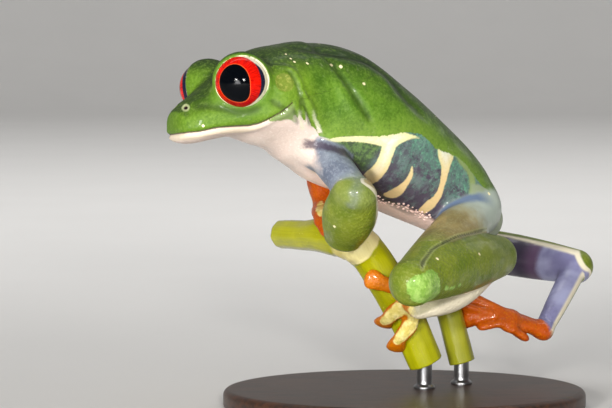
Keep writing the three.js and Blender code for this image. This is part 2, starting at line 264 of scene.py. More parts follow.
def rod_rings(foot, top, radius=1.1):
    """Rings of a rod, whose shoulder is places [how much wider than the rod, height above the plate]."""
    shoulder = [(0.45, -0.2), (0.45, 0.25), (0.3, 0.42), (0.05, 0.55)]
    section = [(radius + wider, BASE["thick"] + height) for wider, height in shoulder]
    section += [(radius, height) for height in np.linspace(BASE["thick"] + 0.7, top, 8)]
    turns = np.linspace(0, 2 * np.pi, 40, endpoint=False)
    for half, height in section:
        yield np.stack([foot[0] + half * np.cos(turns), foot[1] + half * np.sin(turns),
                        np.full_like(turns, height)], 1)


steel = material("brushed_steel", brushed, Metallic=1.0)
for name, foot, top in [("main", (2.9, 0.1), 6.9), ("side", (8.5, 4.5), 6.3)]:
    piece(f"stand_post_{name}", *closed_body(list(rod_rings(foot, top))), steel,
          [f"stand_rod_{name}"], "stand_steel")

# ------------------------------------------------------------------------------------ main vine
# The real piece is a short length of smooth climbing stem, cut square at both ends, with one swollen
# joint where it turns. It is swept in fine rings with shallow ribs along it and a raised joint ring.

TURN = math.radians(205)
PELVIS = np.array([11.7, 3.0, 27.5])


def to_stand(points):
    """From the frog's frame (+X forward, +Y to its left, origin in the pelvis) to the stand's."""
    c, s = math.cos(TURN), math.sin(TURN)
    return np.asarray(points, float) @ np.array([[c, s, 0], [-s, c, 0], [0, 0, 1]]) + PELVIS


def unit(v):
    v = np.asarray(v, float)
    return v / np.linalg.norm(v, axis=-1, keepdims=True)


def smooth_line(points, t):
    """Where the smooth line through some points is at each t, 0 to 1, and its direction there."""
    points = np.asarray(points, float)
    full = np.vstack([2 * points[0] - points[1], points, 2 * points[-1] - points[-2]])
    at = np.clip(t, 0, 1) * (len(points) - 1)
    first = np.minimum(at.astype(int), len(points) - 2)
    w = (at - first)[:, None]
    a, b, c, d = (full[first + i] for i in range(4))
    leave, arrive = (c - a) / 2, (d - b) / 2
    where = (2 * w**3 - 3 * w**2 + 1) * b + (w**3 - 2 * w**2 + w) * leave
    where = where + (3 * w**2 - 2 * w**3) * c + (w**3 - w**2) * arrive
    way = (6 * w**2 - 6 * w) * (b - c) + (3 * w**2 - 4 * w + 1) * leave + (3 * w**2 - 2 * w) * arrive
    return where, way


def sweep(stations, facing=(0, 0, 1), square=2.0, around=32, steps=8, blunt=(1, 1), dome=8):
    """Rings of a body along a smooth line. A station is [middle, half-width, half-height up, down],
    `facing` is the way its back faces, and `blunt` how long each domed end is against its thickness."""
    sizes = [s[1:] if len(s) == 4 else (s[1], s[2], s[2]) for s in stations]
    count = (len(stations) - 1) * steps
    domed = np.radians(90 * (np.arange(dome) + 0.6) / (dome + 0.6))
    t, shift, share = np.linspace(0, 1, count + 1), np.zeros(count + 1), np.ones(count + 1)
    if blunt[0]:
        t, share = np.r_[np.zeros(dome), t], np.r_[np.sin(domed), share]
        shift = np.r_[-blunt[0] * np.cos(domed), shift]
    if blunt[1]:
        t, share = np.r_[t, np.ones(dome)], np.r_[share, np.sin(domed[::-1])]
        shift = np.r_[shift, blunt[1] * np.cos(domed[::-1])]
    middle, way = smooth_line([s[0] for s in stations], t)
    half = smooth_line(sizes, t)[0]
    forward = unit(way)
    side = unit(np.cross(np.asarray(facing, float), forward))
    up = np.cross(forward, side)
    thin = np.minimum(half[:, 0], (half[:, 1] + half[:, 2]) / 2)
    middle = middle + forward * (shift * thin)[:, None]
    half = half * share[:, None]
    turns = np.linspace(0, 2 * np.pi, around, endpoint=False)
    c, s = np.cos(turns), np.sin(turns)
    across = np.sign(c) * np.abs(c) ** (2 / square)
    along = np.sign(s) * np.abs(s) ** (2 / square)
    tall = np.where(s > 0, half[:, 1:2], half[:, 2:3])
    return (middle[:, None] + side[:, None] * (half[:, :1] * across)[..., None]
            + up[:, None] * (tall * along)[..., None])


CUT_RINGS = np.array([0.25, 0.5, 0.75, 0.9, 0.97])    # shares of the radius, over each cut end


class Stem:
    """A round stem: its smooth middle line and its thickness by the millimetre, and places beside it."""

    def __init__(self, line, radius, shares):
        self.line = line
        self.t = np.linspace(0, 1, 2001)
        self.middle = smooth_line(line, self.t)[0]
        self.sizes = smooth_line([[radius * share] for share in shares], self.t)[0][:, 0]
        steps = np.linalg.norm(np.diff(self.middle, axis=0), axis=1)
        self.along = np.r_[0, np.cumsum(steps)]

    def frame(self, along):
        """Middle, tangent, front and left of the stem, so many millimetres along it."""
        t = np.interp(np.atleast_1d(along), self.along, self.t)
        middle, way = smooth_line(self.line, t)
        up = unit(way)
        front = unit(np.array([1.0, 0, 0]) - up[:, :1] * up)
        return middle, up, front, np.cross(up, front)

    def radius(self, along):
        return np.interp(along, self.along, self.sizes)

    def beside(self, along, round_deg, off):
        """A point beside the stem: 0 degrees is the frog's forward side and 90 its left."""
        middle, up, front, left = self.frame(along)
        angle, reach = math.radians(round_deg), self.radius(along) + off
        return (middle + (front * math.cos(angle) + left * math.sin(angle)) * reach)[0]

    def rings(self, radius_at, around=72, spacing=0.18):
        """Rings of the stem with radius_at(along, angle) and their distances along it, closed at both
        ends by a slightly dished cut."""
        count = int(self.along[-1] / spacing)
        along = np.linspace(0, self.along[-1], count)
        middle, up, front, left = self.frame(along)
        turns = np.linspace(0, 2 * np.pi, around, endpoint=False)
        spokes = front[:, None] * np.cos(turns)[:, None] + left[:, None] * np.sin(turns)[:, None]
        full = middle[:, None] + spokes * radius_at(along[:, None], turns[None])[..., None]
        dish = 0.25 * (1 - CUT_RINGS**2)
        start = [middle[0] + (full[0] - middle[0]) * k + up[0] * d for k, d in zip(CUT_RINGS, dish)]
        end = [middle[-1] + (full[-1] - middle[-1]) * k - up[-1] * d for k, d in zip(CUT_RINGS, dish)]
        distance = np.r_[np.zeros_like(CUT_RINGS), along, np.full_like(CUT_RINGS, along[-1])]
        return np.vstack([np.array(start), full, np.array(end)[::-1]]), distance


def give(mesh, **values):
    """Stores a number at each vertex, for the material to read by name."""
    for name, numbers in values.items():
        layer = mesh.attributes.new(name, "FLOAT", "POINT")
        layer.data.foreach_set("value", np.asarray(numbers, np.float32))


def read(place, name):
    return place.make("ShaderNodeAttribute", {"attribute_name": name}, "Fac")


VINE_LINE = [[9.2, -0.9, -21.2], [12.0, -1.1, -15.0], [15.1, -0.9, -9.9], [18.4, -0.4, -5.4],
             [21.1, -0.7, -3.3], [23.1, -3.8, -2.8], [24.2, -8.6, -3.0], [25.2, -15, -3.3]]
vine = Stem(VINE_LINE, 2.58, [0.96, 1, 1.03, 1.04, 1.12, 1, 0.84, 0.8])
JOINT_ALONG, JOINT_END = 19.6, 23.5


def vine_radius(along, turn):
    ribs = 0.035 * np.cos(9 * turn + 0.05 * along) + 0.02 * np.cos(5 * turn + 1)
    lip = 0.07 * np.exp(-((along - JOINT_ALONG) / 0.3) ** 2)
    lip = lip - 0.06 * np.exp(-((along - JOINT_END - 0.1) / 0.3) ** 2)
    uneven = 0.03 * np.sin(0.9 * along + 2 * np.sin(turn))
    return vine.radius(along) + ribs + lip + uneven


def stem_paint(green, deep, pale, jointed):
    """The paint of a stem, pithy at its cuts, with a pale band round its joint if it has one."""
    def paint(place):
        along, turn_x, turn_y = read(place, "along"), read(place, "turn_x"), read(place, "turn_y")
        flat = place.make("ShaderNodeCombineXYZ", {}, X=along * 0.08, Y=turn_x * 3.0, Z=turn_y * 3.0)
        streaks = flat.noise(3.0, 4, 0.6)
        blotches = place.noise(0.22, 3, 0.55)
        pimples = place.cells(1.3).above(0.2, 0.18)
        body = (streaks * 0.7 + blotches * 0.45 - 0.12).mix(deep, green)
        body = (blotches.above(0.58, 0.1) * 0.2).mix(body, pale)
        if jointed:
            wobble = (place.noise(0.5, 2) - 0.5) * 0.8
            joint = (along + wobble).above(JOINT_ALONG, 0.14) * (along + wobble).below(JOINT_END, 0.5)
            palest = (along - (JOINT_ALONG + 0.8)).size().below(1.4, 0.9)
            body = joint.mix(body, (palest * 0.5).mix(colour(214, 200, 122), colour(232, 222, 170)))
        cut = read(place, "cut")
        pith = read(place, "radial").above(0.78, 0.06).mix(colour(206, 205, 140), colour(126, 140, 48))
        body = cut.above(0.5, 0.3).mix(body, pith)
        return {
            "Base Color": body,
            "Roughness": 0.26 + 0.2 * place.noise(0.9, 3) + cut * 0.3,
            "Coat Weight": 0.2 + 0.7 * place.noise(0.35, 2).above(0.42, 0.15),
            "Normal": (streaks * 0.5 + pimples * 0.12).relief(0.0001),
        }
    return paint


def stem_piece(name, stem, radius_at, finish, node):
    rings, distance = stem.rings(radius_at)
    points, faces = closed_body(rings)
    made = piece(name, to_stand(points), faces, finish, [node], "vine")
    around = rings.shape[1]
    turns = np.linspace(0, 2 * np.pi, around, endpoint=False)
    cut, bark = np.ones_like(CUT_RINGS), np.ones(len(distance) - 2 * len(CUT_RINGS))
    radial = np.r_[CUT_RINGS, bark, CUT_RINGS[::-1]]
    by_ring = {"along": (distance, [0, stem.along[-1]]), "radial": (radial, [0, 0]),
               "cut": (np.r_[cut, 0 * bark, cut], [1, 1])}
    give(made.data,
         **{name: np.r_[np.repeat(values, around), hubs] for name, (values, hubs) in by_ring.items()},
         turn_x=np.r_[np.tile(np.cos(turns), len(distance)), 0, 0],
         turn_y=np.r_[np.tile(np.sin(turns), len(distance)), 0, 0])
    return made


vine_paint = stem_paint(colour(190, 186, 4), colour(138, 142, 2), colour(206, 202, 60), jointed=True)
vine_green = material("vine_skin", vine_paint, Coat_Roughness=0.08, Specular_IOR_Level=0.3)
vine_body = stem_piece("vine_stem", vine, vine_radius, vine_green, "vine_main")

# ------------------------------------------------------------------------------------ vine pimples
# The real stem carries small, low, paler pimples, scattered thinly all over its bark.
# Geometry Nodes scatter flattened balls of uneven size over the stem's surface, each half sunk in it.


def studded(name, host, finish, node, slot, scatter, sizes):
    """Flattened balls of uneven size, set by Geometry Nodes on the points of a host mesh or, with
    scatter, all over its faces. The sizes go to the tree's inputs by name."""
    tree = bpy.data.node_groups.new(name, "GeometryNodeTree")
    tree.interface.new_socket("Geometry", in_out="OUTPUT", socket_type="NodeSocketGeometry")
    tree.interface.new_socket("Geometry", in_out="INPUT", socket_type="NodeSocketGeometry")
    for label in ("Ball Radius", "Least Size", "Height", "Per Square Metre"):
        tree.interface.new_socket(label, in_out="INPUT", socket_type="NodeSocketFloat")
    tree.interface.new_socket("Seed", in_out="INPUT", socket_type="NodeSocketInt")
    new, link = tree.nodes.new, tree.links.new
    given = new("NodeGroupInput").outputs

    # One ball, and a size of its own for each copy.
    ball = new("GeometryNodeMeshIcoSphere")
    ball.inputs["Subdivisions"].default_value = 3
    link(given["Ball Radius"], ball.inputs["Radius"])
    size = new("FunctionNodeRandomValue")
    link(given["Least Size"], size.inputs[2])
    link(given["Seed"], size.inputs["Seed"])
    flat = new("ShaderNodeCombineXYZ")
    for axis in "XY":
        link(size.outputs[1], flat.inputs[axis])
    tall = new("ShaderNodeMath")
    tall.operation = "MULTIPLY"
    link(size.outputs[1], tall.inputs[0])
    link(given["Height"], tall.inputs[1])
    link(tall.outputs[0], flat.inputs["Z"])

    # The copies, each standing on its place, made real and given their finish.
    stud = new("GeometryNodeInstanceOnPoints")
    link(ball.outputs["Mesh"], stud.inputs["Instance"])
    link(flat.outputs[0], stud.inputs["Scale"])
    if scatter:
        spots = new("GeometryNodeDistributePointsOnFaces")
        link(given["Geometry"], spots.inputs["Mesh"])
        link(given["Per Square Metre"], spots.inputs["Density"])
        link(given["Seed"], spots.inputs["Seed"])
        link(spots.outputs["Points"], stud.inputs["Points"])
        link(spots.outputs["Rotation"], stud.inputs["Rotation"])
    else:
        link(given["Geometry"], stud.inputs["Points"])
    plain, dress = new("GeometryNodeRealizeInstances"), new("GeometryNodeSetMaterial")
    dress.inputs["Material"].default_value = finish
    link(stud.outputs[0], plain.inputs[0])
    link(plain.outputs[0], dress.inputs["Geometry"])
    link(dress.outputs[0], new("NodeGroupOutput").inputs[0])

    holder = bpy.data.objects.new(f"{name}_host", host)
    bpy.context.scene.collection.objects.link(holder)
    modifier = holder.modifiers.new("studs", "NODES")
    modifier.node_group = tree
    for socket in tree.interface.items_tree:
        if socket.in_out == "INPUT" and socket.name in sizes:
            modifier[socket.identifier] = sizes[socket.name]
    now = bpy.context.evaluated_depsgraph_get()
    mesh = bpy.data.meshes.new_from_object(holder.evaluated_get(now), depsgraph=now)
    holder.modifiers.remove(modifier)
    bpy.data.objects.remove(holder)
    return fitted(name, mesh, [node], slot)


def bark_pimple(place):
    tone = place.noise(1.1, 2)
    return {"Base Color": tone.mix(colour(176, 172, 30), colour(206, 202, 84)), "Roughness": 0.3 + 0.2 * tone}


studded("vine_pimples", vine_body.data.copy(), material("bark_pimple", bark_pimple, Coat_Weight=0.4),
        "vine_main", "vine", scatter=True,
        sizes={"Ball Radius": 0.10 * MM, "Least Size": 0.4, "Height": 0.4, "Per Square Metre": 160000.0,
               "Seed": 11})

# ------------------------------------------------------------------------------------ side vine
# The real piece is a second, thinner and paler shoot of the same climber, which the far foot holds.
# It is swept like the main stem, with fewer and softer ribs.

side_vine = Stem([[2.2, -2.7, -21.8], [3.8, -3.4, -15.1], [4.6, -4.0, -11.6], [5.2, -4.8, -8.8]],
                 1.88, [1] * 4)


def side_radius(along, turn):
    return side_vine.radius(along) + 0.025 * np.cos(7 * turn) + 0.025 * np.sin(0.8 * along + np.sin(turn))


side_paint = stem_paint(colour(166, 162, 34), colour(120, 126, 20), colour(190, 184, 70), jointed=False)
side_green = material("side_vine_skin", side_paint, Coat_Roughness=0.15, Specular_IOR_Level=0.3)
stem_piece("side_vine_stem", side_vine, side_radius, side_green, "vine_side")

# ------------------------------------------------------------------------------------ skin
# The real frog has one unbroken, thin, moist skin from its snout to the pads of its toes.
# Each bone or muscle group is a fine sweep along the same lines as the solid model's. Their distance
# fields are melted together, softly at the joints and hardly at all where two parts only touch.
# The surface is drawn from that field, and then moved in and out for its folds, lips and grooves.

VOXEL = 0.31    # the field's cells, in millimetres
REACH = 2.7                            # how far from a body its distance is kept
FIELD_LOW = np.floor(np.array([-27.5, -37.0, -25.0]) / VOXEL).astype(int)
FIELD_HIGH = np.ceil(np.array([56.0, 30.0, 32.0]) / VOXEL).astype(int)
field = np.full(FIELD_HIGH - FIELD_LOW, REACH, np.float32)
parts = {}


def cell_places(first, shape):
    """The middles of a box of cells, in millimetres, as three arrays that spread to its shape."""
    return [(first[i] + np.arange(shape[i])).reshape([-1 if i == j else 1 for j in range(3)]) * VOXEL
            for i in range(3)]


def cells_from(place, first, shape):
    """How far each cell of a box is from a place."""
    x, y, z = cell_places(first, shape)
    return np.sqrt((x - place[0]) ** 2 + (y - place[1]) ** 2 + (z - place[2]) ** 2).astype(np.float32)


def box_round(points):
    first = np.floor((points.min(0) - REACH) / VOXEL).astype(int)
    return first, np.ceil((points.max(0) + REACH) / VOXEL).astype(int) - first + 1


def measured(rings):
    """The distance field of a closed swept body, in the box of cells round it."""
    points, faces = closed_body(rings)
    first, shape = box_round(points)
    values = np.full(shape, REACH, np.float32)
    grid = openvdb.FloatGrid.createLevelSetFromPolygons(
        points.astype(np.float32),
        triangles=np.array([f for f in faces if len(f) == 3], np.uint32),
        quads=np.array([f for f in faces if len(f) == 4], np.uint32),
        transform=openvdb.createLinearTransform(voxelSize=VOXEL),
        halfWidth=REACH / VOXEL,
    )
    grid.copyToArray(values, ijk=tuple(int(i) for i in first))
    return first, values


def melt(a, b, soft):
    """The union of two distance fields with a fillet about `soft` millimetres across."""
    h = np.maximum(soft - np.abs(a - b), 0)
    return np.minimum(a, b) - h * h / (4 * soft)


def join(name, body, soft, joint=None, spread=3.5, touch=0.3):
    """Melts a body into the skin's field. With a joint, only cells within about `spread` of that place
    get the full fillet, and the others a slight one."""
    first, values = body
    parts.setdefault(name, []).append(body)
    start = first - FIELD_LOW
    box = tuple(slice(a, a + n) for a, n in zip(start, values.shape))
    if joint is not None:
        soft = touch + (soft - touch) * np.exp(-((cells_from(joint, first, values.shape) / spread) ** 2))
    field[box] = melt(field[box], values, soft)


# The body: the trunk along the back's line, and the skull in its own pitched and rolled frame.
BACK_WAY = [0, math.sin(math.radians(11)), math.cos(math.radians(11))]
TRUNK = [[[0.6, -0.3, -1.2], 3.1, 3.4], [[3.5, -0.2, 1.0], 5.4, 5.5], [[7.2, -0.2, 3.9], 6.9, 6.7],
         [[12.4, -0.1, 7.4], 8.2, 7.6, 8.0], [[18.3, 0, 11.1], 9.0, 8.5, 9.0], [[24.9, 0, 14.4], 8.9, 9.5],
         [[30.9, 0, 16.1], 8.3, 8.6, 7.9], [[34.7, 0, 16.7], 7.4, 6.8, 6.4]]
HEAD = np.array([41.0, 0.3, 18.8])
PITCH, ROLL = math.radians(15), math.radians(5)
PITCHED = np.array([[math.cos(PITCH), 0, math.sin(PITCH)], [0, 1, 0], [-math.sin(PITCH), 0, math.cos(PITCH)]])
ROLLED = np.array([[1, 0, 0], [0, math.cos(ROLL), -math.sin(ROLL)], [0, math.sin(ROLL), math.cos(ROLL)]])
HEAD_TURN = PITCHED @ ROLLED
SKULL = [[[-11, 0, -4.6], 7.6, 7.2, 6.8], [[-8, 0, -4.1], 8.6, 7.4, 7.0], [[-5, 0, -4.1], 8.9, 7.3, 5.7],
         [[-2, 0, -4.2], 8.4, 6.6, 4.1], [[1, 0, -4.2], 7.4, 5.6, 2.8], [[4, 0, -4.2], 6.1, 4.5, 2.4],
         [[6.5, 0, -4.1], 4.9, 3.5, 2.3], [[8.0, 0, -3.9], 3.8, 2.6, 2.0]]


def from_head(points):
    return np.asarray(points, float) @ HEAD_TURN.T + HEAD


def in_head(points):
    return (np.asarray(points, float) - HEAD) @ HEAD_TURN


join("trunk", measured(sweep(TRUNK, BACK_WAY, square=2.15, around=48)), 1.5)
skull = [[from_head(p), *sizes] for p, *sizes in SKULL]
join("head", measured(sweep(skull, HEAD_TURN[:, 2], square=2.25, around=48, blunt=(0.2, 0.4))), 1.2)

# The eye turrets: balls cut across where the lids open, with a rounded margin. The lids open at this
# distance before the eyeball's middle, and the right eyeball bulges a little out of its turret.
EYE_RADIUS, TURRET_RADIUS = 3.65, 4.05
LID_OPENING = {"left": 0.9, "right": 0.5}
BULGE = {"left": [0, 0, 0], "right": [0.33, -0.15, 0.02]}
EYES = {}
for side, left in (("left", 1), ("right", -1)):
    gaze = HEAD_TURN @ unit([0.671, left * 0.736, 0.089])
    opens = HEAD_TURN @ unit([math.cos(math.radians(62)), left * math.sin(math.radians(62)), -0.05])
    turret = from_head([-0.2, left * 6.25, -0.05])
    centre = turret + BULGE[side]
    EYES[side] = (centre, gaze, opens)
    first, shape = box_round(np.array([turret - 4.5, turret + 4.5]))
    ball = cells_from(turret, first, shape) - TURRET_RADIUS
    plane = sum((cell - middle) * way for cell, middle, way in zip(cell_places(first, shape), centre, opens))
    plane = plane - LID_OPENING[side]
    join("head", (first, (-melt(-ball, -plane, 0.6)).astype(np.float32)), 1.0)

# The limbs: each from joint to joint, its thickness and its bow as in the solid model.
JOINTS = {
    "left": {"shoulder": [28.6, 5.0, 10.0], "elbow": [27.3, 13.2, 4.3], "wrist": [25.2, 5.3, -2.1],
             "hip": [3.4, 3.6, 0.6], "knee": [21.9, 19.5, -7.3], "heel": [2.6, 7.6, -5.6],
             "ankle": [14.0, 6.4, -12.4]},
    "right": {"shoulder": [27.4, -5.8, 10.2], "elbow": [19.6, -13.4, 7.0], "wrist": [21.6, -8.2, 1.2],
              "hip": [2.4, -3.8, -0.4], "knee": [-9.4, -27.8, -6.9], "heel": [-19.9, -7.4, -9.2],
              "ankle": [-9.9, -0.1, -17.6]},
}
SPANS = {"upper_arm": ("shoulder", "elbow"), "forearm": ("elbow", "wrist"), "thigh": ("hip", "knee"),
         "shank": ("knee", "heel"), "tarsus": ("heel", "ankle")}
# Each muscle's half-width at both ends, its swell halfway, its flatness, and what else its sweep needs.
MUSCLE = {
    "left": {"upper_arm": ([2.5, 2.2], 0.1, 1, {}), "thigh": ([3.3, 3.1], 0.3, 1, {}),
             "forearm": ([3.0, 2.8], 0.85, 0.75, {"facing": [0.42, 0.9, 0.1]}),
             "shank": ([3.0, 3.1], 1.0, 1, {"bow": 0.5}), "tarsus": ([2.2, 1.6], 0.6, 0.85, {"bow": -1.6})},
    "right": {"upper_arm": ([2.7, 2.2], 0.2, 1, {}), "thigh": ([3.5, 3.0], 0.5, 1, {}),
              "forearm": ([2.4, 1.8], 0.8, 0.8, {"facing": [0.42, -0.9, 0.1]}),
              "shank": ([2.9, 2.6], 0.5, 1, {}), "tarsus": ([1.9, 1.4], 0.1, 0.85, {})},
}
# The fillet where each muscle starts, and how far from its joint that fillet reaches.
MELTS = {"upper_arm": (2.6, 5.0), "thigh": (3.8, 7.0), "forearm": (1.4, 3.0), "shank": (1.4, 3.2),
         "tarsus": (1.2, 3.0)}


def limb(start, end, ends, swell, flat, facing=(0, 0, 1), bow=0.0):
    stations = []
    for t in np.linspace(0, 1, 5):
        middle = math.sin(math.pi * t)
        half = ends[0] + (ends[1] - ends[0]) * t + swell * middle
        p = np.asarray(start, float) * (1 - t) + np.asarray(end, float) * t + [0, 0, bow * middle]
        stations.append([p, half, half * flat])
    return sweep(stations, facing, around=36)


for side, joints in JOINTS.items():
    for name, (start, end) in SPANS.items():
        ends, swell, flat, rest = MUSCLE[side][name]
        soft, spread = MELTS[name]
        body = measured(limb(joints[start], joints[end], ends, swell, flat, **rest))
        join(f"{name}_{side}", body, soft, joints[start], spread)

# The hands and feet: a palm, and digits that curl round a stem and end in round pads. A palm runs from
# its joint, so wide and thick there, to its knuckles' place and width, and faces one way. A grip is
# (millimetres along the stem, degrees round it) at the knuckle, and the same at the pad's middle.
GRASPS = {
    "hand_left": ("wrist", 1.9, 1.4, [24.4, 2.9, -0.4], 1.8, [0.2, 0.6, 0.8], vine,
                  [(22.4, 120, 21.8, 200), (23.4, 125, 23.2, 215), (24.4, 125, 24.8, 215),
                   (25.2, 125, 26.4, 200)]),
    "foot_left": ("ankle", 1.6, 1.3, [13.6, 3.3, -12.4], 1.8, [0.1, 1, 0.2], vine,
                  [(12.6, 100, 16.1, 50), (11.0, 84, 8.2, -10), (8.4, 96, 4.3, 4), (9.0, 115, 8.6, 215),
                   (10.6, 115, 13.4, 205)]),
    "hand_right": ("wrist", 1.7, 1.3, [22.7, -6.7, 0.6], 1.7, [0.3, -0.3, 0.9], vine,
                   [(26.4, 75, 23.9, 32), (26.9, 85, 25.0, 50), (28.2, 115, 28.4, 205),
                    (29.6, 115, 31.4, 195)]),
    "foot_right": ("ankle", 1.5, 1.2, [-4.8, -0.8, -15.6], 1.9, [0.3, 0.2, 1], side_vine,
                   [(7.2, 150, 8.2, 215), (5.6, 150, 5.2, 225), (9.0, 160, 11.0, 240)]),
}
FREE_TOES = {"foot_right": [([-3.6, 0.9, -16.6], [-5.5, 0.7, -17.8]),
                            ([-3.2, 0.1, -15.9], [-0.9, -1.1, -16.3])]}
PAD, TIP, DIGIT_ROOT, FLAT = 1.5, 1.12, 1.35, 0.62    # half-widths, and thickness against width
LIFT = TIP * FLAT - 0.03                              # of a digit's middle line off the bark


def digit(root, at, length, facing):
    """The rings of a digit, from the palm's end at `root` to its pad. at(s) is its middle line from
    the knuckle at 0 to the pad's middle at 1, and `length` the way between them."""
    pad = PAD / length
    neck = 1 - 1.1 * pad
    middle = (DIGIT_ROOT + TIP) / 2
    stations = [[root, DIGIT_ROOT, DIGIT_ROOT * FLAT], [at(neck * 0.4), middle, middle * FLAT],
                [at(neck * 0.75), TIP, TIP * FLAT], [at(neck), TIP * 0.95, TIP * FLAT * 0.9],
                [at(1 - 0.25 * pad), PAD * 0.9, 0.68], [at(1 + 0.35 * pad), PAD, 0.66]]
    return sweep(stations, facing, around=28, steps=6, blunt=(1, 1.5))


def gripping(root, stem, grip):
    """The rings of a digit that touches its stem, and the line along its upper side."""
    along0, round0, along1, round1 = grip

    def at(s, off=0.0):
        angle = round0 + (round1 - round0) * s
        return stem.beside(along0 + (along1 - along0) * s, angle, LIFT + 0.3 * (1 - min(s, 1)) + off)

    wrap = math.radians(round1 - round0) * (stem.radius(along0) + LIFT)
    length = math.hypot(along1 - along0, wrap)
    neck = 1 - 1.1 * PAD / length
    facing = at(neck / 2) - stem.frame(along0 + (along1 - along0) * neck / 2)[0][0]
    upper = [at(s, TIP * FLAT) for s in np.linspace(0.15, neck * 1.02, 6)]
    return digit(root, at, length, facing), [np.asarray(root) + 0.8 * unit(facing), *upper]


upper_sides = {}
for name, (joint, wide, thick, knuckles, far_wide, facing, stem, grips) in GRASPS.items():
    start = JOINTS[name.split("_")[1]][joint]
    palm = sweep([[start, wide, thick], [knuckles, far_wide, 1.1]], facing, around=28, steps=10)
    join(name, measured(palm), 1.3, start, 3.0)
    digits = []
    for number, grip in enumerate(grips):
        rings, upper_sides[name, number] = gripping(knuckles, stem, grip)
        digits.append(rings)
    for foot, tip in np.array(FREE_TOES.get(name, [])):
        digits.append(digit(knuckles, lambda s: foot + (tip - foot) * s, np.linalg.norm(tip - foot), facing))
    for rings in digits:
        join(name, measured(rings), 0.9, knuckles, 2.6, touch=0.2)

# The surface of that field, as even quads, with the cell-sized ripple smoothed away.
whole = openvdb.FloatGrid(REACH)
whole.copyFromArray(np.ascontiguousarray(field), ijk=tuple(int(i) for i in FIELD_LOW), tolerance=0.0)
whole.transform = openvdb.createLinearTransform(voxelSize=VOXEL)
points, quads = whole.convertToQuads(0.0)
points, quads = np.asarray(points, float), np.asarray(quads, int)
corners = points[quads]
facings = np.cross(corners[:, 2] - corners[:, 0], corners[:, 3] - corners[:, 1])
if (facings * corners.mean(1)).sum() < 0:
    quads = quads[:, ::-1].copy()
edges = np.vstack([quads[:, [0, 1]], quads[:, [1, 2]], quads[:, [2, 3]], quads[:, [3, 0]]])
edges = np.unique(np.sort(edges, 1), axis=0)
degree = np.bincount(edges.ravel(), minlength=len(points))


def neighbours_mean(values):
    total = np.stack([np.bincount(edges[:, 0], values[edges[:, 1], i], len(values))
                      + np.bincount(edges[:, 1], values[edges[:, 0], i], len(values)) for i in range(3)], 1)
    return total / degree[:, None]


def vertex_normals(where):
    c = where[quads]
    n = np.cross(c[:, 2] - c[:, 0], c[:, 3] - c[:, 1])
    total = np.stack([np.bincount(quads.ravel(), np.repeat(n[:, i], 4), len(where)) for i in range(3)], 1)
    return unit(total + 1e-12)


def smoothed(where, rounds, draw_in, push_out):
    """Evens out ripples. Each round draws every point in to its neighbours' mean and then pushes it out
    from it a little more, so that the body doesn't shrink."""
    for step in range(rounds):
        where = where + draw_in * (neighbours_mean(where) - where)
        where = where - push_out * (neighbours_mean(where) - where)
    return where


points = smoothed(points, 6, 0.5, 0.52)
normals = vertex_normals(points)

# Where each point of the skin is, so that folds and markings can be laid out in millimetres:
# along the spine and round the girth from the widest line, in the head's frame, and on which part.
spine, spine_way = smooth_line([s[0] for s in TRUNK], np.linspace(0, 1, 300))
spine_side = unit(np.cross(BACK_WAY, spine_way))
spine_up = np.cross(unit(spine_way), spine_side)
spine_along = np.r_[0, np.cumsum(np.linalg.norm(np.diff(spine, axis=0), axis=1))]


def trunk_map(where):
    """Millimetres along the spine, round the girth from the widest line, and out to the left."""
    nearest = np.concatenate([((chunk[:, None] - spine) ** 2).sum(2).argmin(1)
                              for chunk in np.array_split(where, max(1, len(where) // 4000))])
    off = where - spine[nearest]
    u, v = (off * spine_side[nearest]).sum(1), (off * spine_up[nearest]).sum(1)
    ahead = (off * unit(spine_way[nearest])).sum(1)
    return spine_along[nearest] + ahead, np.hypot(u, v) * np.arctan2(v, np.abs(u)), u


def distance_to(name):
    """How far each point of the skin is from the surface of one part before melting."""
    nearest = np.full(len(points), REACH)
    for first, values in parts[name]:
        at = points / VOXEL - first
        inside = np.flatnonzero(((at >= 0) & (at < np.array(values.shape) - 1.001)).all(1))
        low = at[inside].astype(int)
        w = at[inside] - low
        found = np.zeros(len(inside))
        for corner in range(8):
            step = np.array([corner & 1, corner >> 1 & 1, corner >> 2])
            share = np.prod(np.where(step, w, 1 - w), 1)
            i, j, k = (low + step).T
            found += share * values[i, j, k]
        nearest[inside] = np.minimum(nearest[inside], found)
    return nearest


along, girth, across = trunk_map(points)
head = in_head(points)
part_distance = {name: distance_to(name) for name in parts}
core = np.minimum(part_distance["trunk"], part_distance["head"])
CHAINS = [("upper_arm", "forearm", "hand"), ("thigh", "shank", "tarsus", "foot")]
GROUPS = CHAINS[0] + CHAINS[1]
group_distance = {g: np.minimum(part_distance[f"{g}_left"], part_distance[f"{g}_right"]) for g in GROUPS}
# How far each point is inside a part's own share of the skin, counting all that hangs from that part.
claim = {}
for chain in CHAINS:
    for place, group in enumerate(chain):
        others = [core] + [group_distance[g] for g in GROUPS if g not in chain[place:]]
        claim[group] = np.min(others, axis=0) - np.min([group_distance[g] for g in chain[place:]], axis=0)

# The folded shank laps over the end of the thigh at the near knee.
lap = np.clip((points[:, 0] - 14.0) / 5.0, 0, 1) * (points[:, 1] > 0)
lap = lap * (group_distance["thigh"] < 2.0) * (group_distance["shank"] < 1.5)
claim["shank"] = claim["shank"] + 1.1 * lap


def snapped(line, count=48):
    """A smooth line through some places, laid down onto the skin."""
    line = smooth_line(line, np.linspace(0, 1, count))[0]
    nearest = np.array([((points - p) ** 2).sum(1).argmin() for p in line])
    return line - ((line - points[nearest]) * normals[nearest]).sum(1, keepdims=True) * normals[nearest]


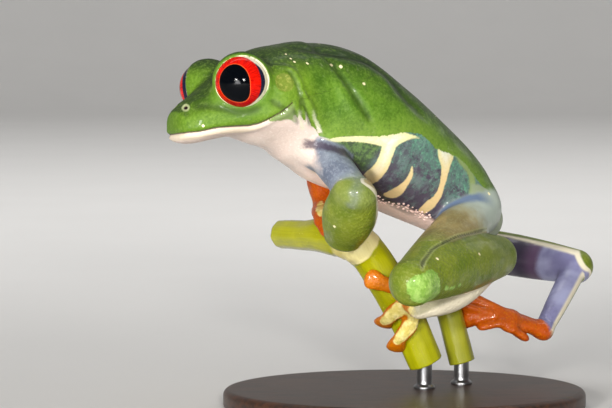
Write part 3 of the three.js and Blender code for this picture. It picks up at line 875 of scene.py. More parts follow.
def off_line(line, reach=3.0):
    """Millimetres from each point of the skin to a line on it, and how far along the line, 0 to 1."""
    gap, share = np.full(len(points), reach), np.zeros(len(points))
    close = np.flatnonzero(((points > line.min(0) - reach) & (points < line.max(0) + reach)).all(1))
    for chunk in np.array_split(close, max(1, len(close) // 5000)):
        gaps = np.linalg.norm(points[chunk, None] - line, axis=2)
        gap[chunk] = np.minimum(gaps.min(1), reach)
        share[chunk] = gaps.argmin(1) / (len(line) - 1)
    return gap, share


def off_map(line, count=60):
    """The same in the unrolled map of the trunk, where a line's points are [along, girth, half-width].
    It is negative inside the half-width."""
    line = smooth_line(line, np.linspace(0, 1, count))[0]
    gap, share = np.full(len(points), 9.0), np.zeros(len(points))
    flat = np.stack([along, girth], 1)
    close = np.flatnonzero(((flat > line[:, :2].min(0) - 4) & (flat < line[:, :2].max(0) + 4)).all(1)
                           & (core < 1.5))
    for chunk in np.array_split(close, max(1, len(close) // 5000)):
        gaps = np.linalg.norm(flat[chunk, None] - line[:, :2], axis=2) - line[:, 2]
        gap[chunk] = gaps.min(1)
        share[chunk] = gaps.argmin(1) / (len(line) - 1)
    return gap, share


def faded(share, ends=0.2):
    """1 along the middle of a fold, falling softly to 0 at both of its ends."""
    t = np.clip(np.minimum(share, 1 - share) / ends, 0, 1)
    return t * t * (3 - 2 * t)


raised = np.zeros(len(points))
shaded = np.zeros(len(points))


def fold(gap, share, height, width, ends=0.2, deepen=1.0):
    """Raises (or, with a negative height, sinks) the skin along a line, and marks the hollow for painted
    shade.
    """
    bump = np.exp(-((gap / width) ** 2)) * faded(share, ends)
    raised[:] += height * bump
    if height < 0:
        shaded[:] += deepen * bump


def table(at, pairs):
    """What a table of (place, value) pairs gives at each place, straight from pair to pair."""
    return np.interp(at, *zip(*pairs))


# The mouth's slit, round the snout from corner to corner, with full lips above and below it: its
# height by the distance forward in the head, and the same for the width of the white lower lip.
MOUTH = [(-5.5, -4.5), (-4.9, -4.78), (-4.0, -5.22), (-2.85, -5.55), (-1.4, -5.98), (-0.5, -6.16),
         (0.6, -6.1), (2.2, -5.7), (4.7, -5.1), (7.1, -4.9), (8.8, -4.5), (9.6, -4.3)]
LIP = [(-2.4, 0), (-2.0, 0.2), (-1.2, 0.47), (-0.3, 0.55), (2.0, 0.6), (3.6, 0.65), (5.2, 0.7),
       (6.65, 0.85), (7.75, 1.0), (8.5, 0.95)]
mouth_corner = MOUTH[0][0]
on_head = core < 1.5
above_mouth = head[:, 2] - table(head[:, 0], MOUTH)
mouth_gap = np.hypot(above_mouth, np.minimum(head[:, 0] - mouth_corner, 0))
mouth_gap = np.where((head[:, 0] > -8) & on_head, mouth_gap, 3.0)
in_front = (head[:, 0] > mouth_corner - 0.1) & on_head
mouth_line = np.where(in_front, above_mouth, 3.0 * np.sign(above_mouth))
lip = np.minimum(-above_mouth - 0.02, table(head[:, 0], LIP) + above_mouth)
lip = np.where((head[:, 0] > LIP[0][0]) & on_head, lip, -3.0)
at_lips = np.exp(-((mouth_gap / 2.2) ** 2)) * np.clip((head[:, 0] + 6) / 2, 0, 1)
raised += at_lips * (0.10 * np.exp(-(((above_mouth - 0.55) / 0.45) ** 2))
                     + 0.16 * np.exp(-(((above_mouth + 0.45) / 0.35) ** 2)))
raised -= 0.26 * np.exp(-((mouth_gap / 0.22) ** 2))

# Folds of the head, the same on both sides: [height, width, places in the head's frame].
HEAD_FOLDS = [
    (-0.14, 0.50, [(7.0, 3.0, -1.9), (6.2, 3.7, -1.8), (5.4, 4.5, -1.9), (4.4, 5.4, -2.3),
                   (3.3, 6.1, -2.9), (2.2, 6.8, -3.6), (1.1, 7.3, -4.0), (0.1, 7.7, -4.1),
                   (-0.9, 8.0, -3.9), (-1.7, 8.2, -3.5)]),
    (0.16, 0.60, [(6.9, 2.6, -0.7), (5.9, 3.4, -0.6), (4.8, 4.2, -0.6), (3.8, 4.9, -0.7)]),
    (0.30, 0.42, [(-3.9, 8.0, 1.3), (-4.8, 7.6, 0.9), (-5.9, 7.5, 0.2), (-6.9, 7.5, -0.8), (-7.1, 7.8, -2.5),
                  (-6.8, 8.5, -4.2), (-6.6, 8.5, -5.6)]),
    (-0.22, 0.28, [(-5.6, 7.8, -0.1), (-6.4, 7.7, -0.9), (-6.6, 8.2, -2.3), (-6.6, 8.4, -3.4),
                   (-6.5, 8.2, -4.4), (-6.3, 8.2, -6.5), (-6.8, 7.1, -8.3)]),
    (-0.20, 0.24, [(-5.3, 8.6, -5.2), (-5.5, 8.3, -6.4), (-5.9, 7.1, -8.0)]),
    (-0.26, 0.26, [(-6.9, 8.5, -4.0), (-6.9, 8.5, -5.2), (-7.2, 8.1, -6.4), (-7.4, 7.6, -7.5),
                   (-8.2, 6.5, -9.3)]),
    (0.20, 0.34, [(-6.6, 8.4, -5.2), (-6.8, 8.0, -6.8), (-7.3, 7.1, -8.4)]),
    (0.26, 0.36, [(-7.1, 8.5, -3.1), (-7.5, 8.5, -4.5), (-7.9, 8.3, -5.7), (-8.4, 7.5, -7.7)]),
    (-0.14, 0.45, [(-2.4, 8.2, -3.2), (-3.3, 8.4, -4.3), (-4.6, 8.7, -5.4)]),
    (0.12, 0.50, [(-2.9, 8.0, -6.2), (-4.2, 8.2, -5.7), (-5.4, 8.4, -5.0)]),
]
for height, width, places in HEAD_FOLDS:
    for left in (1, -1):
        fold(*off_line(snapped(from_head([(x, left * y, z) for x, y, z in places]))), height, width)

# Pale streaks that run down the neck between its folds.
NECK_STREAKS = [[(-6.0, 8.4, -5.4), (-6.1, 8.1, -6.9), (-6.5, 7.1, -8.4)],
                [(-6.9, 8.3, -6.0), (-7.3, 7.4, -8.0)],
                [(-7.9, 8.3, -6.0), (-8.4, 7.5, -7.9), (-9.0, 6.7, -9.4)],
                [(-5.2, 8.5, -5.9), (-5.5, 7.9, -7.3)]]
streak = np.zeros(len(points))
for places in NECK_STREAKS:
    for left in (1, -1):
        gap, share = off_line(snapped(from_head([(x, left * y, z) for x, y, z in places])))
        streak = np.maximum(streak, np.exp(-((gap / 0.28) ** 2)) * np.clip(share * 2.5, 0, 1))

# Nostrils: a small ringed slit each. Eardrums: a low taut disc inside a raised rim.
nostril_gap = np.full(len(points), 9.0)
drum_gap = np.full(len(points), 9.0)
for left in (1, -1):
    spot = snapped(from_head([(7.1, left * 2.3, -1.4), (7.15, left * 2.25, -1.35)]), 2)[0]
    off, outward = (points - spot) @ HEAD_TURN, unit([0.35, left * 0.93, 0.1])
    flat = np.linalg.norm(off - (off @ outward)[:, None] * outward, axis=1)
    nostril_gap = np.minimum(nostril_gap, np.where(np.linalg.norm(off, axis=1) < 1.3, flat, 9.0))
    spot = snapped(from_head([(-5.15, left * 8.4, -1.7), (-5.2, left * 8.4, -1.7)]), 2)[0]
    drum_gap = np.minimum(drum_gap, np.linalg.norm(points - spot, axis=1))
raised += 0.24 * np.exp(-((nostril_gap / 0.62) ** 4)) - 0.42 * np.exp(-((nostril_gap / 0.30) ** 2))
raised += 0.12 * np.exp(-(((drum_gap - 1.4) / 0.22) ** 2)) - 0.14 * np.exp(-((drum_gap / 1.15) ** 4))

# The lids: a rounded margin round each eyeball, and a shallow groove behind it.
lid = np.full(len(points), 9.0)
lid_ring = np.zeros(len(points))
for side, (centre, gaze, opens) in EYES.items():
    off = points - centre
    ahead = off @ opens
    spoke = off - ahead[:, None] * opens
    clear = np.linalg.norm(off, axis=1) - EYE_RADIUS
    behind = np.minimum(ahead - LID_OPENING[side], 0)
    gap = np.where(behind < 0, np.hypot(clear, behind), clear)
    gap = np.where((clear < 2.4) & (ahead > 0.1), gap, 9.0)
    back, rise = (unit(spoke + 1e-9) @ HEAD_TURN @ unit(way) for way in ([-1, 0, 0.2], [0.3, 0, 1]))
    width = 0.04 + 0.13 * np.clip(back * 1.1, 0, 1) - 0.25 * np.clip(-rise - 0.35, 0, 1)
    lid_ring = np.where(np.abs(gap) < np.abs(lid), width, lid_ring)
    lid = np.where(np.abs(gap) < np.abs(lid), gap, lid)
raised += 0.08 * np.exp(-(((lid - 0.2) / 0.22) ** 2)) - 0.06 * np.exp(-(((lid - 0.85) / 0.25) ** 2))

# Folds of the trunk in its unrolled map, the same on both sides: [height, width, [along, girth]].
TRUNK_FOLDS = [
    (-0.36, 0.85, [(39.5, 10.3), (37.0, 10.6), (34.8, 10.8), (31.6, 11.2), (29.1, 11.9), (26.3, 11.2),
                   (23.7, 9.2), (20.2, 7.6), (17.5, 6.9)]),
    (0.22, 1.10, [(37.0, 8.8), (33.0, 9.3), (29.5, 9.7), (26.6, 9.2), (24.0, 7.4)]),
    (-0.30, 0.50, [(34.6, 9.2), (33.4, 8.5), (31.7, 6.2), (29.8, 4.2), (27.7, 2.7), (26.3, 1.9)]),
    (0.20, 0.80, [(33.8, 6.8), (32.0, 4.6), (30.2, 2.8), (28.4, 1.4)]),
    (0.14, 0.80, [(30.6, 6.6), (28.6, 4.6), (26.6, 3.4)]),
    (-0.12, 0.60, [(24.5, -3.0), (21.5, -5.2), (18.5, -6.6), (14.0, -6.6), (10.5, -5.6)]),
    (0.16, 0.60, [(19.5, 1.5), (18.8, -1.5), (19.0, -4.5)]),
    (0.12, 0.50, [(14.6, 2.0), (14.2, -1.0), (15.0, -4.0)]),
]
for height, width, places in TRUNK_FOLDS:
    gap, share = off_map([(a, w, 0.0) for a, w in places])
    fold(gap, share, height, width)

# The skin fold where the folded shank lies against the thigh, and the raised edge beside it; the distance
# from it is kept for a painted highlight on that edge and painted shade in the fold.
KNEE_FOLD = [(5.0, 9.6, -1.4), (7.5, 11.4, -1.6), (10.1, 13.2, -1.8), (13.0, 14.9, -2.1), (15.8, 16.6, -2.7),
             (18.1, 18.0, -3.3), (20.2, 19.9, -4.2), (21.3, 21.0, -4.8), (21.8, 21.6, -5.6)]
knee_gap, share = off_line(snapped(np.array(KNEE_FOLD)))
fold(knee_gap, share, -0.2, 0.26, ends=0.08, deepen=0.0)
fold(off_line(snapped(np.array(KNEE_FOLD) + [-0.1, 0.2, -0.6]))[0], share, 0.14, 0.3, ends=0.1)
knee_gap = np.where(knee_gap < 2.5, knee_gap + 0.15 * (1 - faded(share, 0.1)), 3.0)

settled = smoothed(points + normals * raised[:, None], 2, 0.35, 0.36)

# Which limbs are the near ones, on the left, and which part's share each point is in.
left_gap, right_gap = (np.min([part_distance[f"{g}_{side}"] for g in GROUPS], axis=0) for side in EYES)
on_limb = np.minimum(left_gap, right_gap) < 1.5
near_side = np.where(on_limb, left_gap < right_gap, points[:, 1] > 0).astype(float)
owner = np.full(len(points), "", dtype="<U10")
for chain in CHAINS:
    for group in chain:
        owner = np.where(claim[group] > 0, group, owner)

# How far out each point of a limb is, on the green outer face against the blue or orange inner one, in
# millimetres round the limb from the line where green ends. Each row: the limb, which way is out, how
# far round towards it green ends, and how much that line climbs along the limb.
OUTER = [
    ("forearm", "left", [1.235, 0.526, 0], -0.6, 0.4), ("forearm", "right", [-0.3, -0.9, -0.3], 0.0, 0.0),
    ("shank", "left", [0.42, 0.906, 0.2], -0.05, 0.0), ("shank", "right", [-0.5, -0.3, 0.8], 0.5, 0.0),
    ("tarsus", "left", [-0.3, 0.6, 0.7], 0.75, 0.0), ("tarsus", "right", [-0.7, 0.1, -0.6], 0.55, 0.0),
    ("thigh", "left", [0.56, -0.26, 0.79], 0.2, 0.0), ("thigh", "right", [-0.4, -0.3, 0.85], 0.4, 0.0),
    ("upper_arm", "left", [-0.3, 0.4, 0.87], 0.3, 0.0),
    ("upper_arm", "right", [-0.3, -0.4, 0.87], 0.3, 0.0),
]
outer = np.zeros(len(points))
reach_along = np.zeros(len(points))
best = np.full(len(points), 9.0)
for name, side, way, edge, rising in OUTER:
    start, end = (np.array(JOINTS[side][joint]) for joint in SPANS[name])
    axis = end - start
    t = (points - start) @ axis / (axis @ axis)
    spoke = points - start - t[:, None] * axis
    way = unit(way)
    way = unit(way - (way @ unit(axis)) * unit(axis))
    cosine = (spoke @ way) / (np.linalg.norm(spoke, axis=1) + 0.3)
    if (name, side) == ("shank", "right"):
        cosine = cosine + np.clip((t - 1.025) / 0.1, 0, 1.4)    # here the rim turns down round the heel
    limit = edge + rising * (np.clip(t - 0.45, 0, 1) - 0.5 * np.clip(0.3 - t, 0, 0.4))
    gap = part_distance[f"{name}_{side}"] - 5.0 * (owner == name)
    mine = gap < best
    best = np.where(mine, gap, best)
    outer = np.where(mine, (cosine - limit) * 3.0, outer)
    reach_along = np.where(mine, t, reach_along)


# Markings, each as millimetres inside its outline.


def inside_bars(bars):
    """Millimetres inside any of some bars in the trunk's map, negative outside them."""
    return -np.min([off_map(bar)[0] for bar in bars], axis=0)


# [along, girth, half-width] down each bar: the thin band under the green, the broad forked bar, the
# short hooked one and the long one, and then the faint last one.
CREAM_BARS = [
    [(33.0, -2.7, 0.12), (31.6, -2.3, 0.3), (29.2, -1.5, 0.36), (27.4, -0.7, 0.42), (25.8, -0.1, 0.5),
     (24.9, 0.3, 0.65), (23.6, 1.0, 0.85)],
    [(19.2, 3.8, 0.08), (20.7, 3.1, 0.35), (22.1, 2.2, 0.85), (22.9, 1.0, 1.1), (22.5, -0.6, 0.95),
     (22.1, -2.4, 1.05), (22.1, -4.2, 1.2), (22.4, -5.8, 1.1)],
    [(18.0, -0.2, 0.15), (17.5, -1.0, 0.3), (17.2, -1.8, 0.38), (17.1, -2.8, 0.48), (17.1, -3.9, 0.75),
     (17.3, -5.0, 0.85), (17.9, -5.8, 0.5)],
    [(14.4, 4.9, 1.6), (14.1, 4.2, 1.45), (13.3, 2.7, 0.8), (12.6, 1.2, 0.55), (11.9, -0.3, 0.45),
     (11.5, -1.7, 0.6), (11.5, -3.1, 0.85), (11.6, -4.4, 0.7)],
]
FAINT_BAR = [(12.6, 5.2, 0.2), (11.2, 4.9, 0.55), (9.8, 4.7, 0.6), (8.6, 4.2, 0.6), (7.6, 3.2, 0.6),
             (6.9, 2.0, 0.5)]
cream = inside_bars(CREAM_BARS)
faint = inside_bars([FAINT_BAR])

# Where green ends: the girth it reaches down to along the flank, and on the head its lower edge's height
# by the distance forward, which runs into the mouth's line.
FLANK_GREEN = [(0, 1.6), (2.3, 2.8), (4.7, 3.6), (6.8, 4.2), (8.8, 4.6), (10.9, 5.1), (12.4, 4.9),
               (14.3, 4.4), (16.0, 3.9), (17.4, 4.2), (19.7, 4.3), (21.7, 3.3), (22.9, 2.3), (24.9, 0.9),
               (27.1, -0.1), (29.6, -1.2), (31.7, -2.2), (33.4, -2.6), (36.0, -2.8)]
FACE_GREEN = [(-12, -11.4), (-10.7, -11.1), (-9.8, -10.6), (-8.8, -10.0), (-8.2, -8.9), (-6.9, -7.8),
              (-5.9, -7.5), (-5.1, -7.2), (-4.9, -6.9), (-4.4, -6.5), (-3.5, -6.4), (-2.4, -6.16)] + MOUTH[4:]
green_flank = girth - table(along, FLANK_GREEN)
green_face = (head[:, 2] - table(head[:, 0], FACE_GREEN)) * 0.85
green_face = green_face + 1.3 * np.clip((-6.5 - head[:, 0]) / 2, 0, 1) * (across < 0)
turned = np.clip((head[:, 0] + 10.5) / 2.5, 0, 1)
green = green_flank * (1 - turned) + green_face * turned

# The belly's upper edge, and the pale patch over the rump, whose front edge is given by the girth.
BELLY = [(0, -4.2), (5, -4.4), (8.9, -4.5), (10.5, -4.7), (11.5, -5.0), (13.1, -5.3), (14.0, -5.5),
         (15.2, -6.1), (16.3, -6.7), (17.4, -7.3), (21, -7.1), (25, -6.6), (28, -5.6), (30, -4.6),
         (31.5, -3.6), (33, -2.7), (36, -2.5)]
belly = table(along, BELLY) - girth
RUMP = [(-4, 7.0), (0, 6.8), (1.8, 7.2), (3.0, 7.8), (3.9, 6.6), (4.6, 3.0), (6, -2.5)]
rump = np.where(core < 2.5, table(girth, RUMP) - along, -3)


def inside_spots(spots):
    """Millimetres inside any of some round spots laid on the skin, [place, radius] each."""
    deep = np.full(len(points), -9.0)
    for place, radius in spots:
        nearest = points[((points - place) ** 2).sum(1).argmin()]
        deep = np.maximum(deep, radius - np.linalg.norm(points - nearest, axis=1))
    return deep


# Small pale dots here and there on the green, and the lime patch at the near knee with its trail of spots.
PALE_DOTS = [(10.4, 4.0, 14.2), (28.2, 9.6, 0.2), (3.3, 5.8, 3.0), (18.6, 19.7, -4.4), (10.3, 16.4, -4.3),
             (27.1, 1.3, 24.2), (34.3, 5.9, 22.9), (33.9, 6.8, 22.3), (33.7, 7.4, 21.9), (31.9, 7.3, 21.5),
             (27.9, 6.6, 21.5), (26.4, 6.8, 21.2), (23.5, 8.1, 18.9), (46.1, 5.6, 13.5),
             (30.5, -6.2, 21.8), (25.1, -7.4, 19.6), (19.0, -5.0, 19.2), (22.2, 0.6, 23.0),
             (14.2, -3.8, 15.8), (8.0, -3.6, 10.6), (33.0, -3.2, 23.6)]
dots = inside_spots([(place, 0.21 + 0.05 * math.sin(7 * i)) for i, place in enumerate(PALE_DOTS)])
KNEE_PATCH = [((21.5, 22.1, -7.9), 2.2), ((20.7, 21.8, -7.2), 1.9), ((20.2, 21.4, -8.5), 1.9),
              ((22.6, 22.0, -7.6), 1.5),
              ((17.1, 20.2, -8.1), 0.36), ((16.3, 19.8, -8.2), 0.25), ((15.6, 19.4, -8.2), 0.36),
              ((14.5, 18.9, -8.0), 0.36), ((13.4, 17.5, -8.8), 0.22), ((22.2, -27.0, -6.0), 0.2)]
patch = inside_spots(KNEE_PATCH)

# The pale upper side of the outer toes and fingers, narrower toward the pad.
pale = np.full(len(points), -3.0)
for name, number, wide in [("foot_left", 1, 1.0), ("foot_left", 2, 1.05), ("foot_right", 2, 0.7),
                           ("hand_left", 0, 0.6), ("hand_right", 0, 0.6)]:
    line = smooth_line(upper_sides[name, number], np.linspace(0, 1, 30))[0]
    gap, share = off_line(line)
    pale = np.maximum(pale, wide * (1 - 0.45 * share**3) - gap)
instep = smooth_line([[14.6, 7.0, -12.6], [13.9, 4.9, -12.6], [13.0, 4.2, -13.4]], np.linspace(0, 1, 12))[0]
pale = np.maximum(pale, 1.2 - off_line(instep)[0])

# The upper arm: its blue stops short of the chest in front, and a plum band runs along its top; on the trunk
# just above the arm's edge the band widens as painted armpit shade.
blue = claim["upper_arm"] + 0.9 * np.clip((points[:, 2] - 6.5) / 3, 0, 1)
PLUM_TOP = [(20.0, 4.0), (22.9, 7.0), (24.5, 8.7), (26.7, 10.4), (29.7, 11.6), (32.2, 11.8)]
plum_under = table(points[:, 0], PLUM_TOP) - points[:, 2]
blue = np.min([blue, 30.6 - points[:, 0], plum_under + 0.1], axis=0)
blue = np.where(points[:, 1] > 0, blue, claim["upper_arm"])
plum_and_shade = np.min([plum_under, 1.9 - plum_under, (32.4 - points[:, 0]) * 0.6,
               (points[:, 0] - 21.0) * 0.3], axis=0)
# Painted armpit shade: a dark band on the trunk along the arm's upper edge, joined to the plum band.
armpit_shade_band = np.min([0.9 - np.abs(claim["upper_arm"] + 0.5), (points[:, 0] - 21.5) * 0.5,
                   (30.0 - points[:, 0]) * 0.5, plum_under], axis=0)
plum_and_shade = np.where(points[:, 1] > 4, np.maximum(plum_and_shade, armpit_shade_band), -3.0)

# Painted shade in the armpit, and where the folded shank meets the thigh.
armpit = np.exp(-((claim["upper_arm"] / 0.3) ** 2)) * np.clip((26.5 - points[:, 0]) / 2, 0, 1)
shaded = np.maximum(shaded, armpit * (core < 2.5) * (points[:, 1] > 0))
crease = np.exp(-((claim["shank"] / 0.26) ** 2)) * (group_distance["thigh"] < 1.2) * (points[:, 1] > 0)
shaded = np.maximum(shaded, 0.6 * crease * (core > 0.8) * (points[:, 0] < 16))

# The skin's finish: leaf green above, a blue-green flank with cream bars, a pinkish-white belly, blue
# inner limbs, orange hands and feet. Every edge is a little ragged, as pigment in real skin is.


def skin_paint(place):
    mark = {name: read(place, name) for name in skin_marks}
    drift = (place.noise(0.9, 3) - 0.5) * 0.7
    ragged = drift + (place.noise(3.2, 3) - 0.5) * 0.45
    clouds = place.noise(0.28, 4, 0.55)
    grain = place.noise(2.4, 4, 0.65)
    specks = place.cells(2.0)
    near = mark["near_side"]

    # Green: yellower on the face and low on the side, and darkened as painted shade along the back's top and
    # where the skin faces up.
    leaf = clouds.above(0.48, 0.22).mix(colour(66, 104, 20), colour(96, 136, 34))
    top = (mark["upward"] + drift * 0.3).above(0.58, 0.3)
    top = top.highest((mark["girth"] + drift).above(9.0, 2.2) * (0.85 - 0.85 * mark["face"]))
    face = mark["face"].above(0.5, 0.5)
    leaf = (face * 0.6).mix(leaf, colour(120, 154, 36))
    snout = mark["along"].above(43.0, 3.0)
    leaf = (snout * 0.45).mix(leaf, colour(70, 106, 16))
    low_side = (mark["green"] + drift).below(2.2, 2.2) * (1.0 - face)
    leaf = (low_side * 0.5).mix(leaf, colour(130, 160, 60))
    # Painted shade: the green is darkened where the skin faces up and along the back's top.
    leaf = (top * 0.9).mix(leaf, colour(24, 48, 4))
    leaf = (grain.above(0.56, 0.1) * 0.3).mix(leaf, colour(136, 168, 70))
    leaf = (grain.below(0.40, 0.08) * 0.35).mix(leaf, colour(50, 84, 20))

    # Flank: navy and slate, clouded with teal above, greener in front of the forked bar.
    lift = mark["girth"] * 0.03
    upright = place.make("ShaderNodeCombineXYZ", {}, X=mark["along"] * 1.3, Y=mark["girth"] * 0.4)
    streaks = upright.noise(1.0, 4, 0.6)
    flank = (place.noise(0.5, 4, 0.6) + lift).above(0.5, 0.14).mix(colour(78, 70, 84), colour(92, 112, 108))
    flank = ((place.noise(1.1, 4, 0.65) + lift).above(0.56, 0.08) * 0.6).mix(flank, colour(88, 134, 114))
    flank = ((place.noise(2.0, 3, 0.6) + lift).above(0.64, 0.04) * 0.5).mix(flank, colour(110, 170, 138))
    flank = (streaks.above(0.58, 0.08) * 0.35).mix(flank, colour(124, 136, 138))
    flank = (grain.below(0.42, 0.06) * 0.4).mix(flank, colour(42, 40, 56))
    front = (place.noise(1.6, 4, 0.7) + (mark["along"] - 27.0) * 0.02).above(0.5, 0.1)
    front = front.mix(colour(66, 84, 58), colour(100, 130, 70))
    flank = ((mark["along"] + drift).above(23.8, 0.6) * 0.9).mix(flank, front)
    flank = ((mark["faint"] + ragged * 0.8).above(0.0, 0.3) * 0.85).mix(flank, colour(148, 166, 98))
    bar = mark["cream"].above(0.6, 0.5).mix(colour(232, 228, 172), colour(236, 238, 218))
    bar = mark["low"].mix(bar, colour(228, 198, 144))
    bar = (grain.below(0.46, 0.1) * 0.3).mix(bar, colour(206, 192, 130))
    flank = (mark["cream"] + ragged * 0.35).above(0.0, 0.12).mix(flank, bar)

    # Underside: a pale throat, a pinker belly with fine grains, and dark specks along its upper edge.
    under = mark["along"].above(30, 4).mix(colour(255, 226, 214), colour(226, 208, 196))
    under = (clouds.above(0.5, 0.15) * 0.2).mix(under, colour(232, 200, 190))
    under = (specks.below(0.25, 0.15) * 0.35).mix(under, colour(250, 238, 232))
    edge = (mark["belly"] + 0.15 + ragged * 0.8).size().below(0.5, 0.3) * mark["along"].below(29.5, 0.8)
    under = (edge * 0.75).mix(under, colour(84, 54, 58))
    body = (mark["belly"] + ragged * 0.8).above(0.0, 0.12).mix(flank, under)
    throat_edge = mark["along"].above(32.6, 0.8)
    body = throat_edge.mix(body, under)
    green = mark["green"] - mark["streak"] * 1.3
    body = (green + ragged * (1.0 - face * 0.6)).above(0.0, 0.1).mix(body, leaf)
    body = (mark["rump"] + drift * 0.8).above(0.0, 0.45).mix(body, colour(146, 158, 128))
    body = ((mark["streak"] + ragged * 1.4).above(0.5, 0.4) * 0.7).mix(body, colour(216, 216, 186))

    # Lips, lids, eardrums and nostrils, with painted shade in the mouth's slit and in the nostrils.
    body = (mark["corner"] * 0.75).mix(body, colour(132, 146, 100))
    body = (mark["lip"].above(0.0, 0.06) * 0.92).mix(body, colour(234, 216, 192))
    # The dark line along the mouth's slit is painted shade.
    body = (mark["mouth"].size().below(0.08, 0.06) * 0.85).mix(body, colour(74, 52, 40))
    dusk = (mark["lid"].below(1.5, 0.9) * 0.4).mix(body, colour(70, 112, 26))
    body = mark["lid"].below(mark["lid_ring"], 0.06).mix(dusk, colour(240, 228, 192))
    drum = mark["drum"].below(1.32, 0.14)
    body = (drum * 0.6).mix(body, colour(122, 132, 52))
    body = (drum * grain.above(0.55, 0.06) * 0.5).mix(body, colour(168, 168, 84))
    body = mark["nostril"].below(0.54, 0.14).mix(body, colour(176, 184, 134))
    # The dark middle of each nostril is painted shade in its opening.
    body = mark["nostril"].below(0.27, 0.08).mix(body, colour(36, 14, 16))

    # Arms: a slate-blue upper arm with a plum top, widened by painted armpit shade; a forearm olive outside,
    # with a cream rim.
    slate = clouds.above(0.5, 0.2).mix(colour(96, 104, 122), colour(132, 142, 156))
    slate = (grain.above(0.55, 0.08) * 0.35).mix(slate, colour(160, 168, 178))
    slate = (mark["reach"].above(0.86, 0.12) * 0.6).mix(slate, colour(160, 172, 156))
    body = (mark["blue"] + ragged * 0.6).above(0.0, 0.35).mix(body, slate)
    # The plum top, with painted armpit shade on the trunk above the arm.
    body = ((mark["plum_and_shade"] + ragged * 0.9).above(0.35, 0.35) * 0.85).mix(body, colour(58, 44, 64))
    olive = clouds.above(0.48, 0.2).mix(colour(92, 112, 22), colour(124, 136, 40))
    olive = (grain.above(0.57, 0.08) * 0.3).mix(olive, colour(154, 162, 84))
    orange = clouds.above(0.5, 0.2).mix(colour(164, 42, 0), colour(192, 72, 0))
    orange = (near * 0.45 + 0.2).mix(orange, colour(204, 124, 0))
    orange = (grain.above(0.58, 0.08) * 0.3).mix(orange, colour(216, 134, 8))
    rim_cream = colour(232, 222, 196)
    inside = (mark["outer"] + drift).above(-1.3, 0.5).mix(colour(134, 140, 164), colour(168, 150, 104))
    fore = (mark["outer"] + drift * 0.5).above(0.0, 0.25).mix((near * 0.9).mix(orange, inside), olive)
    rim_width = 0.24 - 0.06 * mark["reach"]
    fore = ((mark["outer"] + drift * 0.2).size() - rim_width).below(0.0, 0.12).mix(fore, rim_cream)
    fore = (mark["reach"].below(0.03, 0.1) * 0.2).mix(fore, colour(150, 160, 112))
    body = (mark["forearm"] + drift * 0.3).above(0.0, 0.2).mix(body, fore)

    # Legs: the near thigh is pale at the hip, blue on top, then brown to olive at the knee; the shank
    # and tarsus are olive with a pale rim. The far leg shows its lavender inner side and a cream edge.
    brown = clouds.above(0.5, 0.2).mix(colour(134, 118, 72), colour(160, 144, 90))
    brown = (grain.above(0.56, 0.08) * 0.35).mix(brown, colour(170, 168, 120))
    thigh = (mark["reach"] + drift * 0.15).above(0.68, 0.14).mix(brown, olive)
    thigh = (mark["reach"] + drift * 0.2).below(0.26, 0.14).mix(thigh, colour(178, 190, 178))
    seam = (mark["thigh"] - 0.7 + drift * 0.8).size().below(0.9, 0.6) * mark["reach"].above(0.06, 0.06)
    thigh = (seam * mark["reach"].below(0.62, 0.2) * 0.85).mix(thigh, colour(82, 104, 142))
    lilac = place.noise(0.22, 3, 0.5).above(0.5, 0.16).mix(colour(120, 118, 156), colour(160, 162, 196))
    far = (mark["outer"] + drift * 0.4).above(0.5, 0.3).mix(colour(96, 80, 108), olive)
    far = (mark["outer"] + 0.1 + drift * 0.3).size().below(0.55, 0.4).mix(far, rim_cream)
    body = (mark["thigh"] + drift * 0.8).above(0.0, 0.5).mix(body, near.mix(far, thigh))
    before_heel = mark["tarsus"].below(-0.35, 0.1)
    inner = ((mark["reach"] + drift * 0.05).below(0.78, 0.03) * before_heel).mix(lilac, colour(98, 76, 104))
    inner = (mark["reach"].below(0.69, 0.06) * before_heel).mix(inner, colour(56, 50, 66))
    knee = near * (mark["reach"] + drift * 0.1).below(0.15, 0.09).highest(mark["shank"].below(0.9, 0.3))
    shank = (mark["outer"] + drift * 0.6).above(0.0, 0.4).highest(knee).mix(near.mix(inner, rim_cream), olive)
    rim_width = 0.62 - 0.28 * near - (1.0 - near) * (1.0 - mark["reach"]) * 0.9
    rim = ((mark["outer"] + 0.2 + drift * 0.3).size() - rim_width).below(0.0, 0.3) * (1.0 - knee)
    shank = rim.mix(shank, rim_cream)
    body = (mark["shank"] + drift * 0.2).above(0.0, 0.12).mix(body, shank)
    # Along the knee fold: a pale fringe that is a painted highlight on its raised edge, round a dark line
    # that is painted shade in its hollow.
    body = (mark["knee_fold"].below(0.46, 0.12) * 0.4).mix(body, colour(176, 182, 120))
    body = (mark["knee_fold"].below(0.26, 0.12) * 0.72).mix(body, colour(44, 48, 24))
    hock = (mark["outer"] + drift * 0.4).above(0.0, 0.35).mix(lilac, olive)
    hock = (mark["outer"] + 0.5).size().below(0.6, 0.35).mix(hock, rim_cream)
    pale_hock = (mark["reach"] + drift * 0.3).above(0.35, 0.35)
    pale_hock = pale_hock.mix(colour(124, 132, 102), colour(176, 170, 140))
    pale_hock = (mark["outer"] + 0.9).below(0.0, 0.4).mix(pale_hock, rim_cream)
    body = (mark["tarsus"] + drift * 0.2).above(0.0, 0.15).mix(body, near.mix(hock, pale_hock))

    # Hands and feet: orange, yellower on the near side, with pale yellow backs to the outer digits.
    web = (mark["pale"] + ragged * 0.5).above(0.0, 0.14)
    toe = place.noise(1.1, 3).above(0.5, 0.16).mix(colour(214, 196, 104), colour(242, 226, 150))
    digits = web.mix(orange, toe)
    body = (mark["hand"].highest(mark["foot"]) + ragged * 0.4).above(0.0, 0.15).mix(body, digits)

